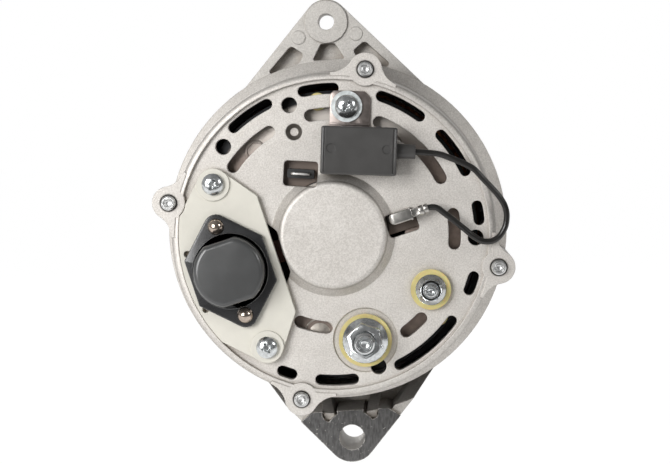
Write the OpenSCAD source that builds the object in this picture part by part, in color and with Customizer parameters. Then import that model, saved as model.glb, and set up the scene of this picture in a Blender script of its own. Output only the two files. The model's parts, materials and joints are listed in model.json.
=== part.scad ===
// Belt-driven alternator with an external fan, seen from its slip-ring end.
// Every module is drawn in a bench frame: x right, y up, z along the shaft
// towards the rear face, with z = 0 on the rear frame's rim. place() then
// stands the part up with its origin at the centre of the pivot bore.

/* [Rear frame] */
// Radius of the rim round the rear face
rim_r = 63.6; // [63:0.1:64.4]
// Width of the raised rim
rim_width = 2.8; // [2:0.1:3.2]
// Radius of the rounded outer edge of the rim
rim_round = 2.5; // [1:0.1:2.6]
// How far the end wall lies below the rim
face_drop = 1.75; // [1:0.05:2.2]
// Thickness of the end wall
end_wall = 4; // [3.4:0.1:5]
// Thickness of the side wall
side_wall = 2.8; // [2.2:0.1:3]
// Growth of the side wall's radius from rim to flange
side_draft = 1.6; // [1:0.1:2]
// Depth of the rear frame from rim to stator flange
rear_depth = 48; // [46:0.5:54]
// Radius of the two flanges that clamp the stator
flange_r = 69.8; // [69.2:0.1:71]
// Thickness of the rear flange along the shaft
flange_h = 4.5; // [4:0.1:6]
// How far each flange laps over the stator
spigot_lap = 3; // [2:0.1:3.6]
// Height of the bearing boss on the rear face
boss_h = 5; // [4.4:0.1:6]
// Radius of the boss at its foot
boss_base_r = 24.2; // [23.6:0.1:25]
// Radius of the flat top of the boss
boss_top_r = 20.5; // [19.6:0.1:21]
// Thickness of the metal that closes the boss
boss_cap = 2.9; // [2:0.1:3.2]
// Radius of the outer row of vent slots
outer_vent_r = 57.3; // [56.9:0.1:57.6]
// Width of the outer vent slots
outer_vent_w = 4.3; // [3.4:0.1:4.6]
// Radius of the inner row of vent slots
inner_vent_r = 47.5; // [47:0.1:47.8]
// Width of the inner vent slots
inner_vent_w = 4.8; // [4:0.1:5]
// Radius of the small round holes in the end wall
small_hole_r = 3.1; // [2.4:0.1:3.3]

/* [Through bolts] */
// Radius of the circle on which the bolts stand
bolt_circle_r = 65.8; // [65.4:0.1:66.4]
// Angle of the first bolt
bolt_angle = 79.1; // [78:0.1:80]
// Radius of a bolt
bolt_r = 3; // [2.5:0.1:3.2]
// Radius of the round lobe in which a bolt ends
lobe_r = 6.5; // [6:0.1:7]
// Radius of the fillet between a lobe and the rim
lobe_fillet = 10; // [6:0.5:12]
// How far a bolt stands out of its lobe
bolt_stand = 2.4; // [1:0.1:4]
// Width of a bolt's hexagon head across its flats
bolt_af = 10; // [8:0.1:10.4]
// Height of a bolt's head
bolt_head_h = 4; // [3:0.1:4]

/* [Stator] */
// Outer radius of the stator core
stator_r = 67.3; // [66.8:0.1:67.6]
// Radius of the stator's bore
stator_bore_r = 46; // [45.9:0.05:46.6]
// Length of the stack of laminations
stack_length = 30; // [26:0.5:34]
// Number of winding slots
slot_count = 36; // [24:12:36]
// Width of a winding slot
slot_w = 4.2; // [3.6:0.1:4.8]
// Radius of the bottom of the winding slots
slot_bottom_r = 59.6; // [59:0.1:60.4]
// Outer radius of the winding heads
winding_r = 58.5; // [57:0.1:58.8]
// How far the winding heads stand out of the core
winding_overhang = 12.5; // [9:0.5:13]

/* [Drive frame] */
// Distance from the stator core to the front bearing
bearing_set = 9; // [8.6:0.1:11]
// Thickness of the drive frame's front wall
front_wall = 5; // [4:0.1:6]
// Radius of the rounded shoulder of the drive frame
shoulder_r = 8; // [6:0.5:9]
// Outer radius of the front bearing's hub
front_hub_r = 31; // [29:0.5:32]
// Number of air windows in the front wall
window_count = 12; // [8:1:14]
// Inner radius of the air windows
window_in_r = 35; // [34:0.5:37]
// Outer radius of the air windows
window_out_r = 54; // [50:0.5:55]
// Width of the spokes between the windows
spoke_w = 6.5; // [6:0.5:9]

/* [Ear and foot] */
// Distance from the shaft to the ear hole and to the pivot bore
mount_r = 87.5; // [86:0.5:90]
// Lean of the line from foot to ear from the vertical
mount_lean = 3.9; // [0:0.1:6]
// Radius of the threaded ear hole
ear_hole_r = 3.4; // [3.3:0.05:4.2]
// Radius of the raised boss round the ear hole
ear_boss_r = 9.1; // [8.6:0.1:9.3]
// Radius of the rounded end of the ear
ear_end_r = 9.6; // [9.4:0.1:11]
// Thickness of the ear at its hole
ear_thick = 12; // [9:0.5:14]
// Depth of the pockets between the ear's ribs
ear_pocket = 7; // [4:0.5:8]
// Radius of the pivot bore
pivot_r = 5.25; // [4.2:0.05:6.2]
// Radius of the rounded end of the foot
foot_end_r = 10.4; // [10:0.1:11.5]
// Length of the pivot bore
foot_length = 34; // [30:0.5:34.5]
// Gap along the shaft between the rear frame and the foot
foot_gap = 1; // [0.5:0.1:3]
// Thickness of the foot's ribs and side walls
foot_rib = 4.4; // [3:0.1:5]
// Thickness of the plate that closes the foot's pockets
foot_floor = 5; // [3:0.5:8]

/* [Shaft and bearings] */
// Radius of the shaft under the rotor
shaft_r = 8.5; // [8.2:0.1:8.6]
// Radius of the shaft in the rear bearing
rear_shaft_r = 7.5; // [7:0.1:8]
// Radius of the thread at the pulley end
thread_r = 8; // [7:0.1:8.1]
// Outer radius of the rear bearing
rear_bearing_r = 17.5; // [17.2:0.1:18]
// Width of the rear bearing
rear_bearing_w = 11; // [10.6:0.1:12]
// Number of balls in the rear bearing
rear_ball_count = 8; // [6:1:9]
// Radius of a ball in the rear bearing
rear_ball_r = 2.95; // [2.8:0.05:3]
// Outer radius of the front bearing
front_bearing_r = 23.5; // [23:0.1:24]
// Width of the front bearing
front_bearing_w = 14; // [13:0.1:15]
// Number of balls in the front bearing
front_ball_count = 7; // [6:1:8]
// Radius of a ball in the front bearing
front_ball_r = 4.25; // [4:0.05:4.35]
// Thickness of the bearing seals
seal_h = 0.8; // [0.6:0.1:0.9]
// Thickness of the plate that retains the front bearing
retainer_h = 1.8; // [1.5:0.1:2.2]

/* [Rotor] */
// Radius of the claw poles
rotor_r = 45.5; // [45:0.05:45.6]
// Length of the rotor over both claw poles
rotor_length = 37; // [36:0.5:38]
// Number of claws on each pole
claw_count = 6; // [5:1:6]
// Thickness of a claw pole's disc
claw_disc_h = 9; // [8:0.1:9.4]
// Width of a claw at its root
claw_root_w = 19; // [17:0.5:20]
// Width of a claw at its tip
claw_tip_w = 9; // [6:0.5:10]
// Radius of the iron core under the field coil
core_r = 17.8; // [16:0.1:18.5]
// Outer radius of the field coil
coil_r = 33.5; // [30:0.5:34]
// Wall of the coil bobbin
bobbin_wall = 1.5; // [1:0.1:2]

/* [Slip rings and brushes] */
// Radius of the slip rings
ring_r = 14; // [13:0.1:14.5]
// Width of a slip ring
ring_w = 9; // [8.6:0.1:9.4]
// Gap between the two slip rings
ring_gap = 3; // [2.4:0.1:3.4]
// Thickness of a slip ring's copper
ring_wall = 2.6; // [2:0.1:3]
// Width of a brush along the shaft
brush_w = 8; // [7:0.1:8.4]
// Thickness of a brush across the shaft
brush_t = 5; // [4:0.1:6]
// Length of a brush
brush_length = 15; // [12:0.5:17]
// How far a brush can be pushed back
brush_travel = 5; // [3:0.5:6]
// Wall of the brush holder
holder_wall = 2; // [1.6:0.1:2.4]

/* [Rectifier] */
// Thickness of the two diode plates
diode_plate_h = 2.5; // [2:0.1:3]
// Inner radius of the diode plates
diode_plate_in_r = 28; // [27:0.5:30]
// Outer radius of the diode plates
diode_plate_out_r = 57; // [56:0.5:58]
// Distance between the two diode plates
diode_plate_gap = 15.7; // [15:0.1:16.4]
// Radius of a power diode
diode_r = 6.4; // [6:0.1:6.6]
// Radius of the circle of power diodes
diode_circle_r = 40; // [39:0.5:41]
// Thickness of the insulating washers inside the end wall
inner_washer_h = 2; // [1.6:0.1:3]

/* [Regulator] */
// Angle of the line from the regulator to the shaft
regulator_angle = 18.4; // [17.5:0.1:19]
// Distance from the shaft to the regulator's centre
regulator_r = 42.3; // [42:0.1:42.6]
// Thickness of the cream plate
plate_h = 3; // [2.4:0.1:4]
// Distance from the shaft to the plate's straight edge
plate_edge = 23.4; // [23:0.1:24.2]
// Half the distance between the plate's two screws
plate_screw_half = 33.6; // [33:0.1:34]
// Distance of the plate's screws from the shaft's centre line
plate_screw_r = 38.3; // [37.8:0.1:38.8]
// Half the distance between the rivets
rivet_half = 18.2; // [17.8:0.1:19]
// Thickness of the regulator's flange
regulator_flange_h = 2.6; // [1.6:0.1:3.4]
// Radius of the regulator's can at its foot
can_r = 14.9; // [13.6:0.1:15]
// Height of the regulator's can
can_h = 9.6; // [8:0.1:12]

/* [Terminals] */
// Radius of the battery stud
battery_r = 4; // [3.5:0.1:4]
// Height of the battery stud above the rim
battery_stand = 16; // [13:0.5:22]
// Radius of the battery stud's insulating washer
battery_washer_r = 10.4; // [9.4:0.1:11.6]
// Radius of the charge lamp stud
lamp_r = 2.5; // [2:0.1:3]
// Height of the charge lamp stud above the rim
lamp_stand = 9; // [7.5:0.5:14]
// Radius of the charge lamp stud's insulating washer
lamp_washer_r = 7.9; // [7:0.1:8.4]
// Thickness of the insulating washers on the end wall
washer_h = 2.5; // [1.6:0.1:3]
// Width of a blade terminal
blade_w = 7.2; // [6.3:0.1:7.8]
// Thickness of a blade terminal
blade_h = 0.8; // [0.6:0.1:1]

/* [Capacitor] */
// Length of the capacitor's body
capacitor_l = 29.3; // [26:0.1:30]
// Width of the capacitor's body
capacitor_w = 18.6; // [16:0.1:19]
// Height of the capacitor's body
capacitor_h = 12; // [9:0.5:14]
// Radius of the capacitor's lead outlet
outlet_r = 3; // [2.2:0.1:3.4]
// Thickness of the capacitor's steel strap
strap_h = 1.1; // [0.8:0.1:1.6]
// Radius of the lead
lead_r = 1.2; // [1:0.05:1.4]

/* [Fan and pulley] */
// Outer radius of the fan
fan_r = 62.5; // [58:0.5:64]
// Thickness of the fan's sheet
fan_sheet = 2.2; // [1.6:0.1:2.6]
// Number of fan blades
blade_count = 12; // [8:1:14]
// Height of the fan blades
fan_blade_h = 10; // [7:0.5:10.2]
// How far the fan's ring lies in front of its hub
fan_dish = 11; // [10.6:0.1:12]
// Length of the spacer between bearing and fan
spacer_length = 6; // [5:0.5:9]
// Outer radius of the pulley
pulley_r = 36; // [33:0.5:45]
// Width of the pulley
pulley_w = 20; // [18:0.5:24]
// Width of the belt groove at its mouth
groove_w = 10.5; // [9.5:0.1:11.5]
// Depth of the belt groove
groove_depth = 12; // [9:0.5:12]
// Width of the pulley nut across its flats
nut_af = 22; // [20:0.5:24]
// Height of the pulley nut
nut_h = 10; // [8:0.5:11]

/* [Hidden] */
$fn = 96;

// Clearance round pieces that are fixed to one another
fit = 0.05;
// Gap between pieces that move past one another
running = 0.3;
// Length by which a cut runs past the surface it opens
over = 1;
// Share of its radius by which a corner stands proud of the sides it joins
proud = 0.002;
// Share of its radius at which a thread and its nut bear on one another
thread_share = 0.9;
// Height above its nut at which a stud's thread shows in full
thread_gap = 0.5;
// Width across flats, flange radius, flange thickness and height of two nuts
battery_nut_size = [13, 8.9, 1.6, 8];
lamp_nut_size = [8, 6, 1.1, 5];

// Heights along the shaft, from the rim down to the pulley
z_face = -face_drop;
z_inside = z_face - end_wall;
z_core_rear = spigot_lap - rear_depth;
z_core_front = z_core_rear - stack_length;
z_drive_flange = z_core_front + spigot_lap;
z_middle = (z_core_rear + z_core_front) / 2;
z_rotor_rear = z_middle + rotor_length / 2;
z_rotor_front = z_middle - rotor_length / 2;
z_front_bearing = z_core_front - bearing_set;
z_front_face = z_front_bearing - front_bearing_w;
hub_lip = 2;
z_front_hub = z_front_face - hub_lip;
z_bolt_seat = z_front_face + bolt_head_h;
boss_relief = 1.8;
z_rear_bearing = z_face + boss_h - boss_cap - boss_relief;
z_rear_bearing_in = z_rear_bearing - rear_bearing_w;
z_ring_top = z_rear_bearing_in - 4;
z_rings = [z_ring_top - ring_w / 2, z_ring_top - ring_gap - 1.5 * ring_w];
z_rings_end = z_rings[1] - ring_w / 2;
z_fan_hub = z_front_face - spacer_length;
z_pulley_hub = z_fan_hub - fan_sheet;
z_pulley_rear = z_pulley_hub - fan_dish - 1.3;
z_groove = z_pulley_rear - pulley_w / 2;
z_nut_seat = z_groove - 0.5;
nut_washer_h = 1.8;
z_nut = z_nut_seat - nut_washer_h;
z_shaft_front = z_nut - nut_h - 2;
z_foot_rear = -rear_depth - foot_gap;
z_foot_front = z_foot_rear - foot_length;
z_ear_rear = z_drive_flange - 3.5;
z_positive = z_inside - inner_washer_h;
z_negative = z_positive - diode_plate_h - diode_plate_gap;
z_plate = z_face + plate_h;
z_can = z_plate + regulator_flange_h;
z_strap = z_face + strap_h;

// Radius of the circle that the straight sides of ear and foot would touch
mount_side_r = flange_r - 1;

// Places on the rear face
pivot = [mount_r * sin(mount_lean), -mount_r * cos(mount_lean)];
battery_at = [12.6, -41.3];
lamp_at = [38.2, -21.2];
w_blade_at = [-12.8, 23.9];
d_blade_at = [26.4, 7.3];
slot_sizes = [13.5, 10];
d_slot_at = [26.8, 4.8];
capacitor_at = [10.2, 33];
capacitor_screw_at = [5.2, 50.2];
capacitor_turn = -1.7;
countersink_at = [43.1, 111];
small_holes = [[55.2, 141.4], [53.6, 108.8], [55.7, -1], [54.7, -71]];
outer_vents = [[117, 133], [90, 102], [54, 71], [26, 43], [6, 11.5],
  [-22, -16.5], [-63, -36], [-95, -82], [-110.5, -106.5]];
inner_vents = [[122, 146], [91, 101], [28, 68], [-4, 10], [-53, -43.5]];
plate_vent = [36.6, -111, -94];
rectifier_screw_angles = [-101, -38, 20, 97];
rectifier_screw_r = 52.5;
positive_diode_angles = [-98, 22, 58];
negative_diode_angles = [-80, 40, 76];
plate_sweep = [-118, 130];

// Sides of a tube that runs along a route of points
tube_sides = 8;

module place() {
  translate([-pivot[0], 0, -pivot[1]])
    rotate([90, 0, 0])
      translate([0, 0, -(z_foot_rear + z_foot_front) / 2])
        children();
}

module raise(z) {
  translate([0, 0, z])
    children();
}

module at_angle(r, a) {
  rotate([0, 0, a])
    translate([r, 0, 0])
      children();
}

module at_bolts() {
  for (i = [0:3])
    at_angle(bolt_circle_r, bolt_angle + 90 * i)
      children();
}

// A solid that reaches from one height down to another
module span(top, bottom) {
  raise(bottom)
    linear_extrude(top - bottom)
      children();
}

module tube(r_out, r_in, top, bottom) {
  span(top, bottom)
    difference() {
      circle(r = r_out);
      circle(r = r_in);
    }
}

module hexagon(across_flats, top, bottom) {
  span(top, bottom)
    circle(r = across_flats / 2 / cos(30), $fn = 6);
}

// The outer tangents of two circles, each given as x, y and radius
module link(a, b) {
  reach = norm([b[0] - a[0], b[1] - a[1]]);
  heading = atan2(b[1] - a[1], b[0] - a[0]);
  lean = acos((a[2] - b[2]) / reach);
  polygon([for (e = [[a, lean], [a, -lean], [b, -lean], [b, lean]])
    [e[0][0], e[0][1]]
      + e[0][2] * (1 - proud) * [cos(heading + e[1]), sin(heading + e[1])]]);
  for (e = [a, b])
    translate([e[0], e[1]])
      circle(r = e[2]);
}

// A convex outline with round corners, each given as x, y and radius
module rounded(corners) {
  polygon([for (c = corners) [c[0], c[1]]]);
  for (i = [0:len(corners) - 1])
    link(corners[i], corners[(i + 1) % len(corners)]);
}

module rounded_box(length, width, r) {
  x = length / 2 - r;
  y = width / 2 - r;
  rounded([[-x, -y, r], [x, -y, r], [x, y, r], [-x, y, r]]);
}

// The part of the plane between two angles
module sector(from, to) {
  far = 3 * flange_r;
  steps = 6;
  polygon(concat([[0, 0]], [for (i = [0:steps])
    far * [cos(from + i * (to - from) / steps), sin(from + i * (to - from) / steps)]]));
}

// A slot bent round the shaft, with round ends
module arc_slot(r, w, from, to) {
  intersection() {
    difference() {
      circle(r = r + w / 2);
      circle(r = r - w / 2);
    }
    sector(from, to);
  }
  for (a = [from, to])
    rotate(a)
      translate([r, 0])
        circle(r = w / 2 - fit);
}

// The web with hollow sides that joins a lobe to the circle it stands on
module lobe_web(r) {
  x = (pow(r + lobe_fillet, 2) - pow(lobe_r + lobe_fillet, 2)
    + pow(bolt_circle_r, 2)) / (2 * bolt_circle_r);
  y = sqrt(pow(r + lobe_fillet, 2) - x * x);
  difference() {
    polygon([[0, 0], [x, -y], [bolt_circle_r, 0], [x, y]]);
    for (side = [-1, 1])
      translate([x, side * y])
        circle(r = lobe_fillet + fit);
  }
}

module lobes(r) {
  for (i = [0:3])
    rotate(bolt_angle + 90 * i) {
      lobe_web(r);
      translate([bolt_circle_r, 0])
        circle(r = lobe_r);
    }
}

module bolt_holes(top, bottom) {
  at_bolts()
    raise(bottom)
      cylinder(r = bolt_r + fit, h = top - bottom);
}

// A tube swept along rings of points that all have the same number of sides
module skin(rings) {
  n = len(rings);
  sides = len(rings[0]);
  points = [for (ring = rings) for (p = ring) p];
  walls = [for (i = [0:n - 2]) for (j = [0:sides - 1])
    let (a = i * sides + j, b = i * sides + (j + 1) % sides)
      for (triangle = [[a, b, b + sides], [a, b + sides, a + sides]])
        triangle];
  start = [for (j = [sides - 1:-1:0]) j];
  finish = [for (j = [0:sides - 1]) (n - 1) * sides + j];
  polyhedron(points, concat(walls, [start], [finish]), convexity = 6);
}

function unit(v) = v / norm(v);

function ring_at(p, along, r, sides) =
  let (side = unit(cross(along, [0, 0, 1])), top = cross(side, along))
    [for (j = [0:sides - 1])
      p + r * (cos(j * 360 / sides) * side + sin(j * 360 / sides) * top)];

function tangent(route, i) =
  unit(route[min(i + 1, len(route) - 1)] - route[max(i - 1, 0)]);

// Rear frame
module rear_shell() {
  inner_r = rim_r - side_wall;
  draft_z = flange_h - rear_depth;
  rotate_extrude()
    difference() {
      union() {
        polygon([[0, z_face], [rim_r - rim_width, z_face], [rim_r - rim_width, 0],
          [rim_r - rim_round, 0], [rim_r, -rim_round], [rim_r + side_draft, draft_z + 2.5],
          [flange_r, draft_z], [flange_r, -rear_depth], [0, -rear_depth]]);
        translate([rim_r - rim_round, -rim_round])
          intersection() {
            circle(r = rim_round);
            square(rim_round + over);
          }
      }
      polygon([[-over, z_inside], [inner_r, z_inside],
        [inner_r + side_draft, z_core_rear], [stator_r + fit, z_core_rear],
        [stator_r + fit, -rear_depth - over], [-over, -rear_depth - over]]);
    }
}

// The lobes, whose round columns also show a little inside the rim
module rear_lobes() {
  difference() {
    lobes(rim_r);
    circle(r = rim_r - rim_width / 2);
  }
  for (i = [0:3])
    rotate(bolt_angle + 90 * i)
      translate([bolt_circle_r, 0])
        circle(r = lobe_r);
}

module bearing_boss() {
  edge = 2;
  z_top = z_face + boss_h;
  rotate_extrude() {
    polygon([[0, z_inside], [boss_base_r, z_inside], [boss_base_r, z_face],
      [boss_top_r + 0.8, z_top - edge], [boss_top_r - edge + 0.8, z_top], [0, z_top]]);
    translate([boss_top_r - edge + 0.8, z_top - edge])
      circle(r = edge);
  }
}

module vents() {
  for (v = outer_vents)
    arc_slot(outer_vent_r, outer_vent_w, v[0], v[1]);
  for (v = inner_vents)
    arc_slot(inner_vent_r, inner_vent_w, v[0], v[1]);
  arc_slot(plate_vent[0], inner_vent_w, plate_vent[1], plate_vent[2]);
  for (h = small_holes)
    rotate(h[1])
      translate([h[0], 0])
        circle(r = small_hole_r);
}

module blade_slots() {
  corner = 1.5;
  translate(w_blade_at)
    rotate(-3)
      rounded_box(slot_sizes[0], slot_sizes[1], corner);
  translate(d_slot_at)
    rotate(regulator_angle)
      rounded_box(slot_sizes[0] - 1.3, slot_sizes[1] - 0.8, corner);
}

// The window through which the brush holder reaches the slip rings
module brush_window() {
  edge = -20.4;
  corner = 1.5;
  cut = 3;
  half = 13.4;
  rotate(regulator_angle)
    rounded([[-47 + corner, -half + corner, corner],
      [edge - cut - corner, -half + corner, corner],
      [edge - corner, -half + corner + cut + 1, corner],
      [edge - corner, half - corner - cut - 1, corner],
      [edge - cut - corner, half - corner, corner],
      [-47 + corner, half - corner, corner]]);
}

module at_plate_screws() {
  rotate([0, 0, regulator_angle])
    for (side = [-1, 1])
      translate([-plate_screw_r, side * plate_screw_half, 0])
        children();
}

module rear_frame() {
  hub_r = rear_bearing_r + 4;
  hub_depth = z_rear_bearing_in - 0.5;
  color("gainsboro")
    place()
      difference() {
        union() {
          rear_shell();
          span(0, -rear_depth)
            rear_lobes();
          bearing_boss();
          raise(hub_depth)
            cylinder(r = hub_r, h = z_inside - hub_depth + over);
        }
        span(z_core_rear, -rear_depth - over)
          circle(r = stator_r + fit);
        raise(z_rear_bearing - rear_bearing_w - over)
          cylinder(r = rear_bearing_r, h = rear_bearing_w + over);
        raise(z_rear_bearing - over)
          cylinder(r = rear_bearing_r - 3, h = boss_relief + over);
        span(z_face + boss_h + over, z_inside - over)
          vents();
        span(z_face + boss_h + over, z_inside - 0.5)
          blade_slots();
        span(z_face + boss_h + over, z_inside - 0.5)
          brush_window();
        bolt_holes(over, -rear_depth - over);
        translate([battery_at[0], battery_at[1], z_face - 0.6])
          cylinder(r = 12.6, h = over + 0.6);
        translate([battery_at[0], battery_at[1], z_inside - over])
          cylinder(r = battery_r + 2.2 + fit, h = end_wall + 2 * over);
        translate([lamp_at[0], lamp_at[1], z_inside - over])
          cylinder(r = lamp_r + 1.8 + fit, h = end_wall + 2 * over);
        at_plate_screws()
          raise(z_inside - over)
            cylinder(r = 2.5 + fit, h = end_wall + 2 * over);
        translate([capacitor_screw_at[0], capacitor_screw_at[1], z_inside - over])
          cylinder(r = 2.5 + fit, h = end_wall + 2 * over);
        at_angle(countersink_at[0], countersink_at[1])
          raise(z_face - 2.2)
            cylinder(r1 = 1.6, r2 = 3.3, h = 2.21);
        for (a = rectifier_screw_angles)
          at_angle(rectifier_screw_r, a)
            raise(z_inside - over)
              cylinder(r = 2 + fit, h = 2.6 + over);
      }
}

// Drive frame
module drive_shell() {
  inner_r = flange_r - 6.6;
  z_shoulder = z_front_face + shoulder_r;
  outer_r = flange_r - 4.8;
  rotate_extrude()
    difference() {
      union() {
        polygon([[0, z_drive_flange], [flange_r, z_drive_flange],
          [flange_r, z_drive_flange - 5.5], [flange_r - 2.6, z_drive_flange - 7],
          [outer_r, z_shoulder], [outer_r - shoulder_r, z_front_face],
          [front_hub_r + 3, z_front_face], [front_hub_r, z_front_hub], [0, z_front_hub]]);
        translate([outer_r - shoulder_r, z_shoulder])
          circle(r = shoulder_r);
      }
      polygon([[-over, z_drive_flange + over], [stator_r + fit, z_drive_flange + over],
        [stator_r + fit, z_core_front], [inner_r, z_core_front],
        [inner_r - 1.6, z_shoulder + 2], [inner_r - 6, z_front_face + front_wall],
        [front_hub_r, z_front_face + front_wall], [front_hub_r, z_front_bearing],
        [-over, z_front_bearing]]);
      polygon([[-over, z_front_bearing + over], [front_bearing_r, z_front_bearing + over],
        [front_bearing_r, z_front_face], [front_bearing_r - 3.5, z_front_face],
        [front_bearing_r - 3.5, z_front_hub - over], [-over, z_front_hub - over]]);
    }
}

// The outline of a mount, whose straight sides run in to the body
module mount_outline(end_r) {
  lean = acos((mount_side_r - end_r) / mount_r);
  foot_x = mount_side_r * sin(lean);
  foot_y = mount_side_r * cos(lean);
  side_r = end_r * (1 - proud);
  end_x = side_r * sin(lean);
  end_y = mount_r + side_r * cos(lean);
  polygon([[-foot_x, foot_y], [foot_x, foot_y], [end_x, end_y], [-end_x, end_y]]);
  translate([0, mount_r])
    circle(r = end_r);
}

module air_windows() {
  half = 180 / window_count;
  corner = 2.5;
  in_y = window_in_r * sin(half) - spoke_w / 2 - corner;
  out_y = window_out_r * sin(half) - spoke_w / 2 - corner;
  for (i = [0:window_count - 1])
    rotate(i * 360 / window_count)
      rounded([[window_in_r + corner, -in_y, corner], [window_out_r - corner, -out_y, corner],
        [window_out_r - corner, out_y, corner], [window_in_r + corner, in_y, corner]]);
}

module ear_pockets() {
  base = flange_r + 0.7;
  for (side = [-1, 1])
    mirror([side < 0 ? 1 : 0, 0])
      rounded([[24.4, base - 2.6, 1.2], [15.6, 75.8, 2], [12.6, 74, 1.6], [13.4, base + 1, 1]]);
  rounded([[-6, base + 1.4, 0.6], [6, base + 1.4, 0.6], [2.6, 77.4, 0.8], [-2.6, 77.4, 0.8]]);
}

module ear() {
  rotate([0, 0, mount_lean])
    difference() {
      union() {
        span(z_ear_rear, z_ear_rear - ear_thick)
          mount_outline(ear_end_r);
        translate([0, mount_r, z_ear_rear - over])
          cylinder(r = ear_boss_r, h = over + 1);
        for (side = [-1, 1])
          translate([side * 12.3, 81.6, z_ear_rear - over])
            cylinder(r = 2.9, h = over + 0.25);
      }
      span(z_ear_rear + 2 * over, z_ear_rear - ear_pocket)
        ear_pockets();
      translate([0, mount_r, z_ear_rear - ear_thick - over])
        cylinder(r = ear_hole_r, h = ear_thick + 3 * over);
    }
}

// The flat machined face of the foot, with its hub and two arms
module foot_face() {
  intersection() {
    union() {
      for (side = [-1, 1])
        mirror([side < 0 ? 1 : 0, 0])
          difference() {
            rounded([[0, mount_r, foot_end_r + 1], [14.6, 79.7, 3.6], [20, 80.4, 1.1],
              [16, 86, 2]]);
            translate([8.6, 77.4])
              circle(r = 3.2);
          }
      translate([0, mount_r])
        circle(r = foot_end_r - 0.9);
    }
    mount_outline(foot_end_r);
  }
}

// Side walls and ribs that run from the foot up to the body
module foot_ribs() {
  lean = acos((mount_side_r - foot_end_r) / mount_r);
  wall_l = mount_r * sin(lean);
  for (side = [-1, 1])
    mirror([side < 0 ? 1 : 0, 0]) {
      rotate(-lean)
        translate([8 - wall_l, mount_side_r - foot_rib])
          square([wall_l - 8, 2 * foot_rib]);
      polygon([[6.2, 79.5], [6.2 + foot_rib, 80.5], [14.4, flange_r - 3],
        [14.4 - foot_rib, flange_r - 3]]);
    }
}

module foot() {
  block_r = 76.6;
  z_floor = z_foot_front + foot_floor;
  rotate([0, 0, mount_lean + 180])
    difference() {
      union() {
        span(z_foot_rear, z_foot_front)
          foot_face();
        span(z_floor, z_foot_front)
          mount_outline(foot_end_r);
        difference() {
          span(z_foot_rear - 3, z_foot_front)
            intersection() {
              foot_ribs();
              mount_outline(foot_end_r);
            }
          rotate_extrude()
            polygon([[0, z_foot_rear + over], [block_r + 1.5, z_foot_rear + over],
              [block_r + 1, z_foot_rear - 4], [stator_r + 3.8, z_drive_flange],
              [0, z_drive_flange]]);
        }
      }
      translate([0, mount_r, z_foot_front - over])
        cylinder(r = pivot_r, h = foot_length + 2 * over);
    }
}

module drive_frame() {
  color("silver")
    place()
      difference() {
        union() {
          drive_shell();
          difference() {
            union() {
              ear();
              foot();
            }
            span(z_foot_rear + over, z_front_face - over)
              circle(r = flange_r - 4.9);
          }
          span(z_drive_flange, z_bolt_seat)
            difference() {
              lobes(flange_r - 6);
              circle(r = winding_r + 1);
            }
        }
        span(z_drive_flange + over, z_core_front)
          circle(r = stator_r + fit);
        at_bolts()
          raise(z_front_face - over)
            cylinder(r = lobe_r + running, h = bolt_head_h + over);
        bolt_holes(z_drive_flange + over, z_bolt_seat - over);
        span(z_front_face + front_wall + over, z_front_face - over)
          air_windows();
        at_retainer_screws()
          raise(z_front_bearing - 8)
            cylinder(r = 2 + fit, h = 8 + over);
      }
}

// Through bolts
module through_bolts() {
  chamfer = 0.7;
  color("lightsteelblue")
    place()
      at_bolts() {
        raise(z_bolt_seat)
          cylinder(r = bolt_r, h = bolt_stand - chamfer - z_bolt_seat);
        raise(bolt_stand - chamfer)
          cylinder(r1 = bolt_r, r2 = bolt_r - chamfer, h = chamfer);
        hexagon(bolt_af, z_bolt_seat, z_front_face);
      }
}

// Stator
module slot_places(count) {
  for (i = [0:count - 1])
    rotate((i + 0.5) * 360 / count)
      children();
}

module stator_core() {
  mouth_w = 2.4;
  lip = 2;
  color("dimgray")
    place()
      span(z_core_rear, z_core_front)
        difference() {
          circle(r = stator_r);
          circle(r = stator_bore_r);
          slot_places(slot_count) {
            translate([stator_bore_r + lip, -slot_w / 2])
              square([slot_bottom_r - stator_bore_r - lip, slot_w]);
            translate([stator_bore_r - over, -mouth_w / 2])
              square([lip + 2 * over, mouth_w]);
          }
          for (i = [0:3])
            rotate(bolt_angle + 90 * i)
              translate([bolt_circle_r, 0])
                circle(r = bolt_r + running);
        }
}

module stator_winding() {
  lip = 2.2;
  corner = 2.5;
  bar_w = slot_w - 0.4;
  mid_r = (stator_bore_r + lip + winding_r) / 2;
  head_w = winding_r - stator_bore_r - lip;
  head_mid = (winding_overhang + fit) / 2;
  color("peru")
    place() {
      span(z_core_rear + over, z_core_front - over)
        slot_places(slot_count)
          translate([stator_bore_r + lip + 0.2, -bar_w / 2])
            square([head_w - 0.4, bar_w]);
      for (z = [z_core_rear + head_mid + fit, z_core_front - head_mid - fit])
        rotate_extrude()
          translate([mid_r, z])
            rounded_box(head_w, winding_overhang - fit, corner);
    }
}

// Regulator and its plate
module plate_outline() {
  arc_r = rim_r - rim_width - running;
  corner_y = 25.3;
  corner_x = sqrt(arc_r * arc_r - corner_y * corner_y);
  end_r = 6.2;
  difference() {
    rotate(regulator_angle)
      intersection() {
        circle(r = arc_r);
        rounded([[-plate_edge - 1, -23.6, 1], [-plate_edge - 1, 23.6, 1],
          [-plate_screw_r, plate_screw_half, end_r], [-corner_x - 0.2, corner_y - 0.2, 0.3],
          [-arc_r - 5, corner_y - 6, 0.3], [-arc_r - 5, 6 - corner_y, 0.3],
          [-corner_x - 0.2, 0.2 - corner_y, 0.3], [-plate_screw_r, -plate_screw_half, end_r]]);
      }
    rotate(bolt_angle + 90)
      translate([bolt_circle_r, 0])
        circle(r = lobe_r + running);
  }
}

module at_regulator() {
  rotate([0, 0, regulator_angle])
    translate([-regulator_r, -0.6, 0])
      children();
}

module at_rivets() {
  at_regulator()
    for (side = [-1, 1])
      translate([0, side * rivet_half, 0])
        children();
}

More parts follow.
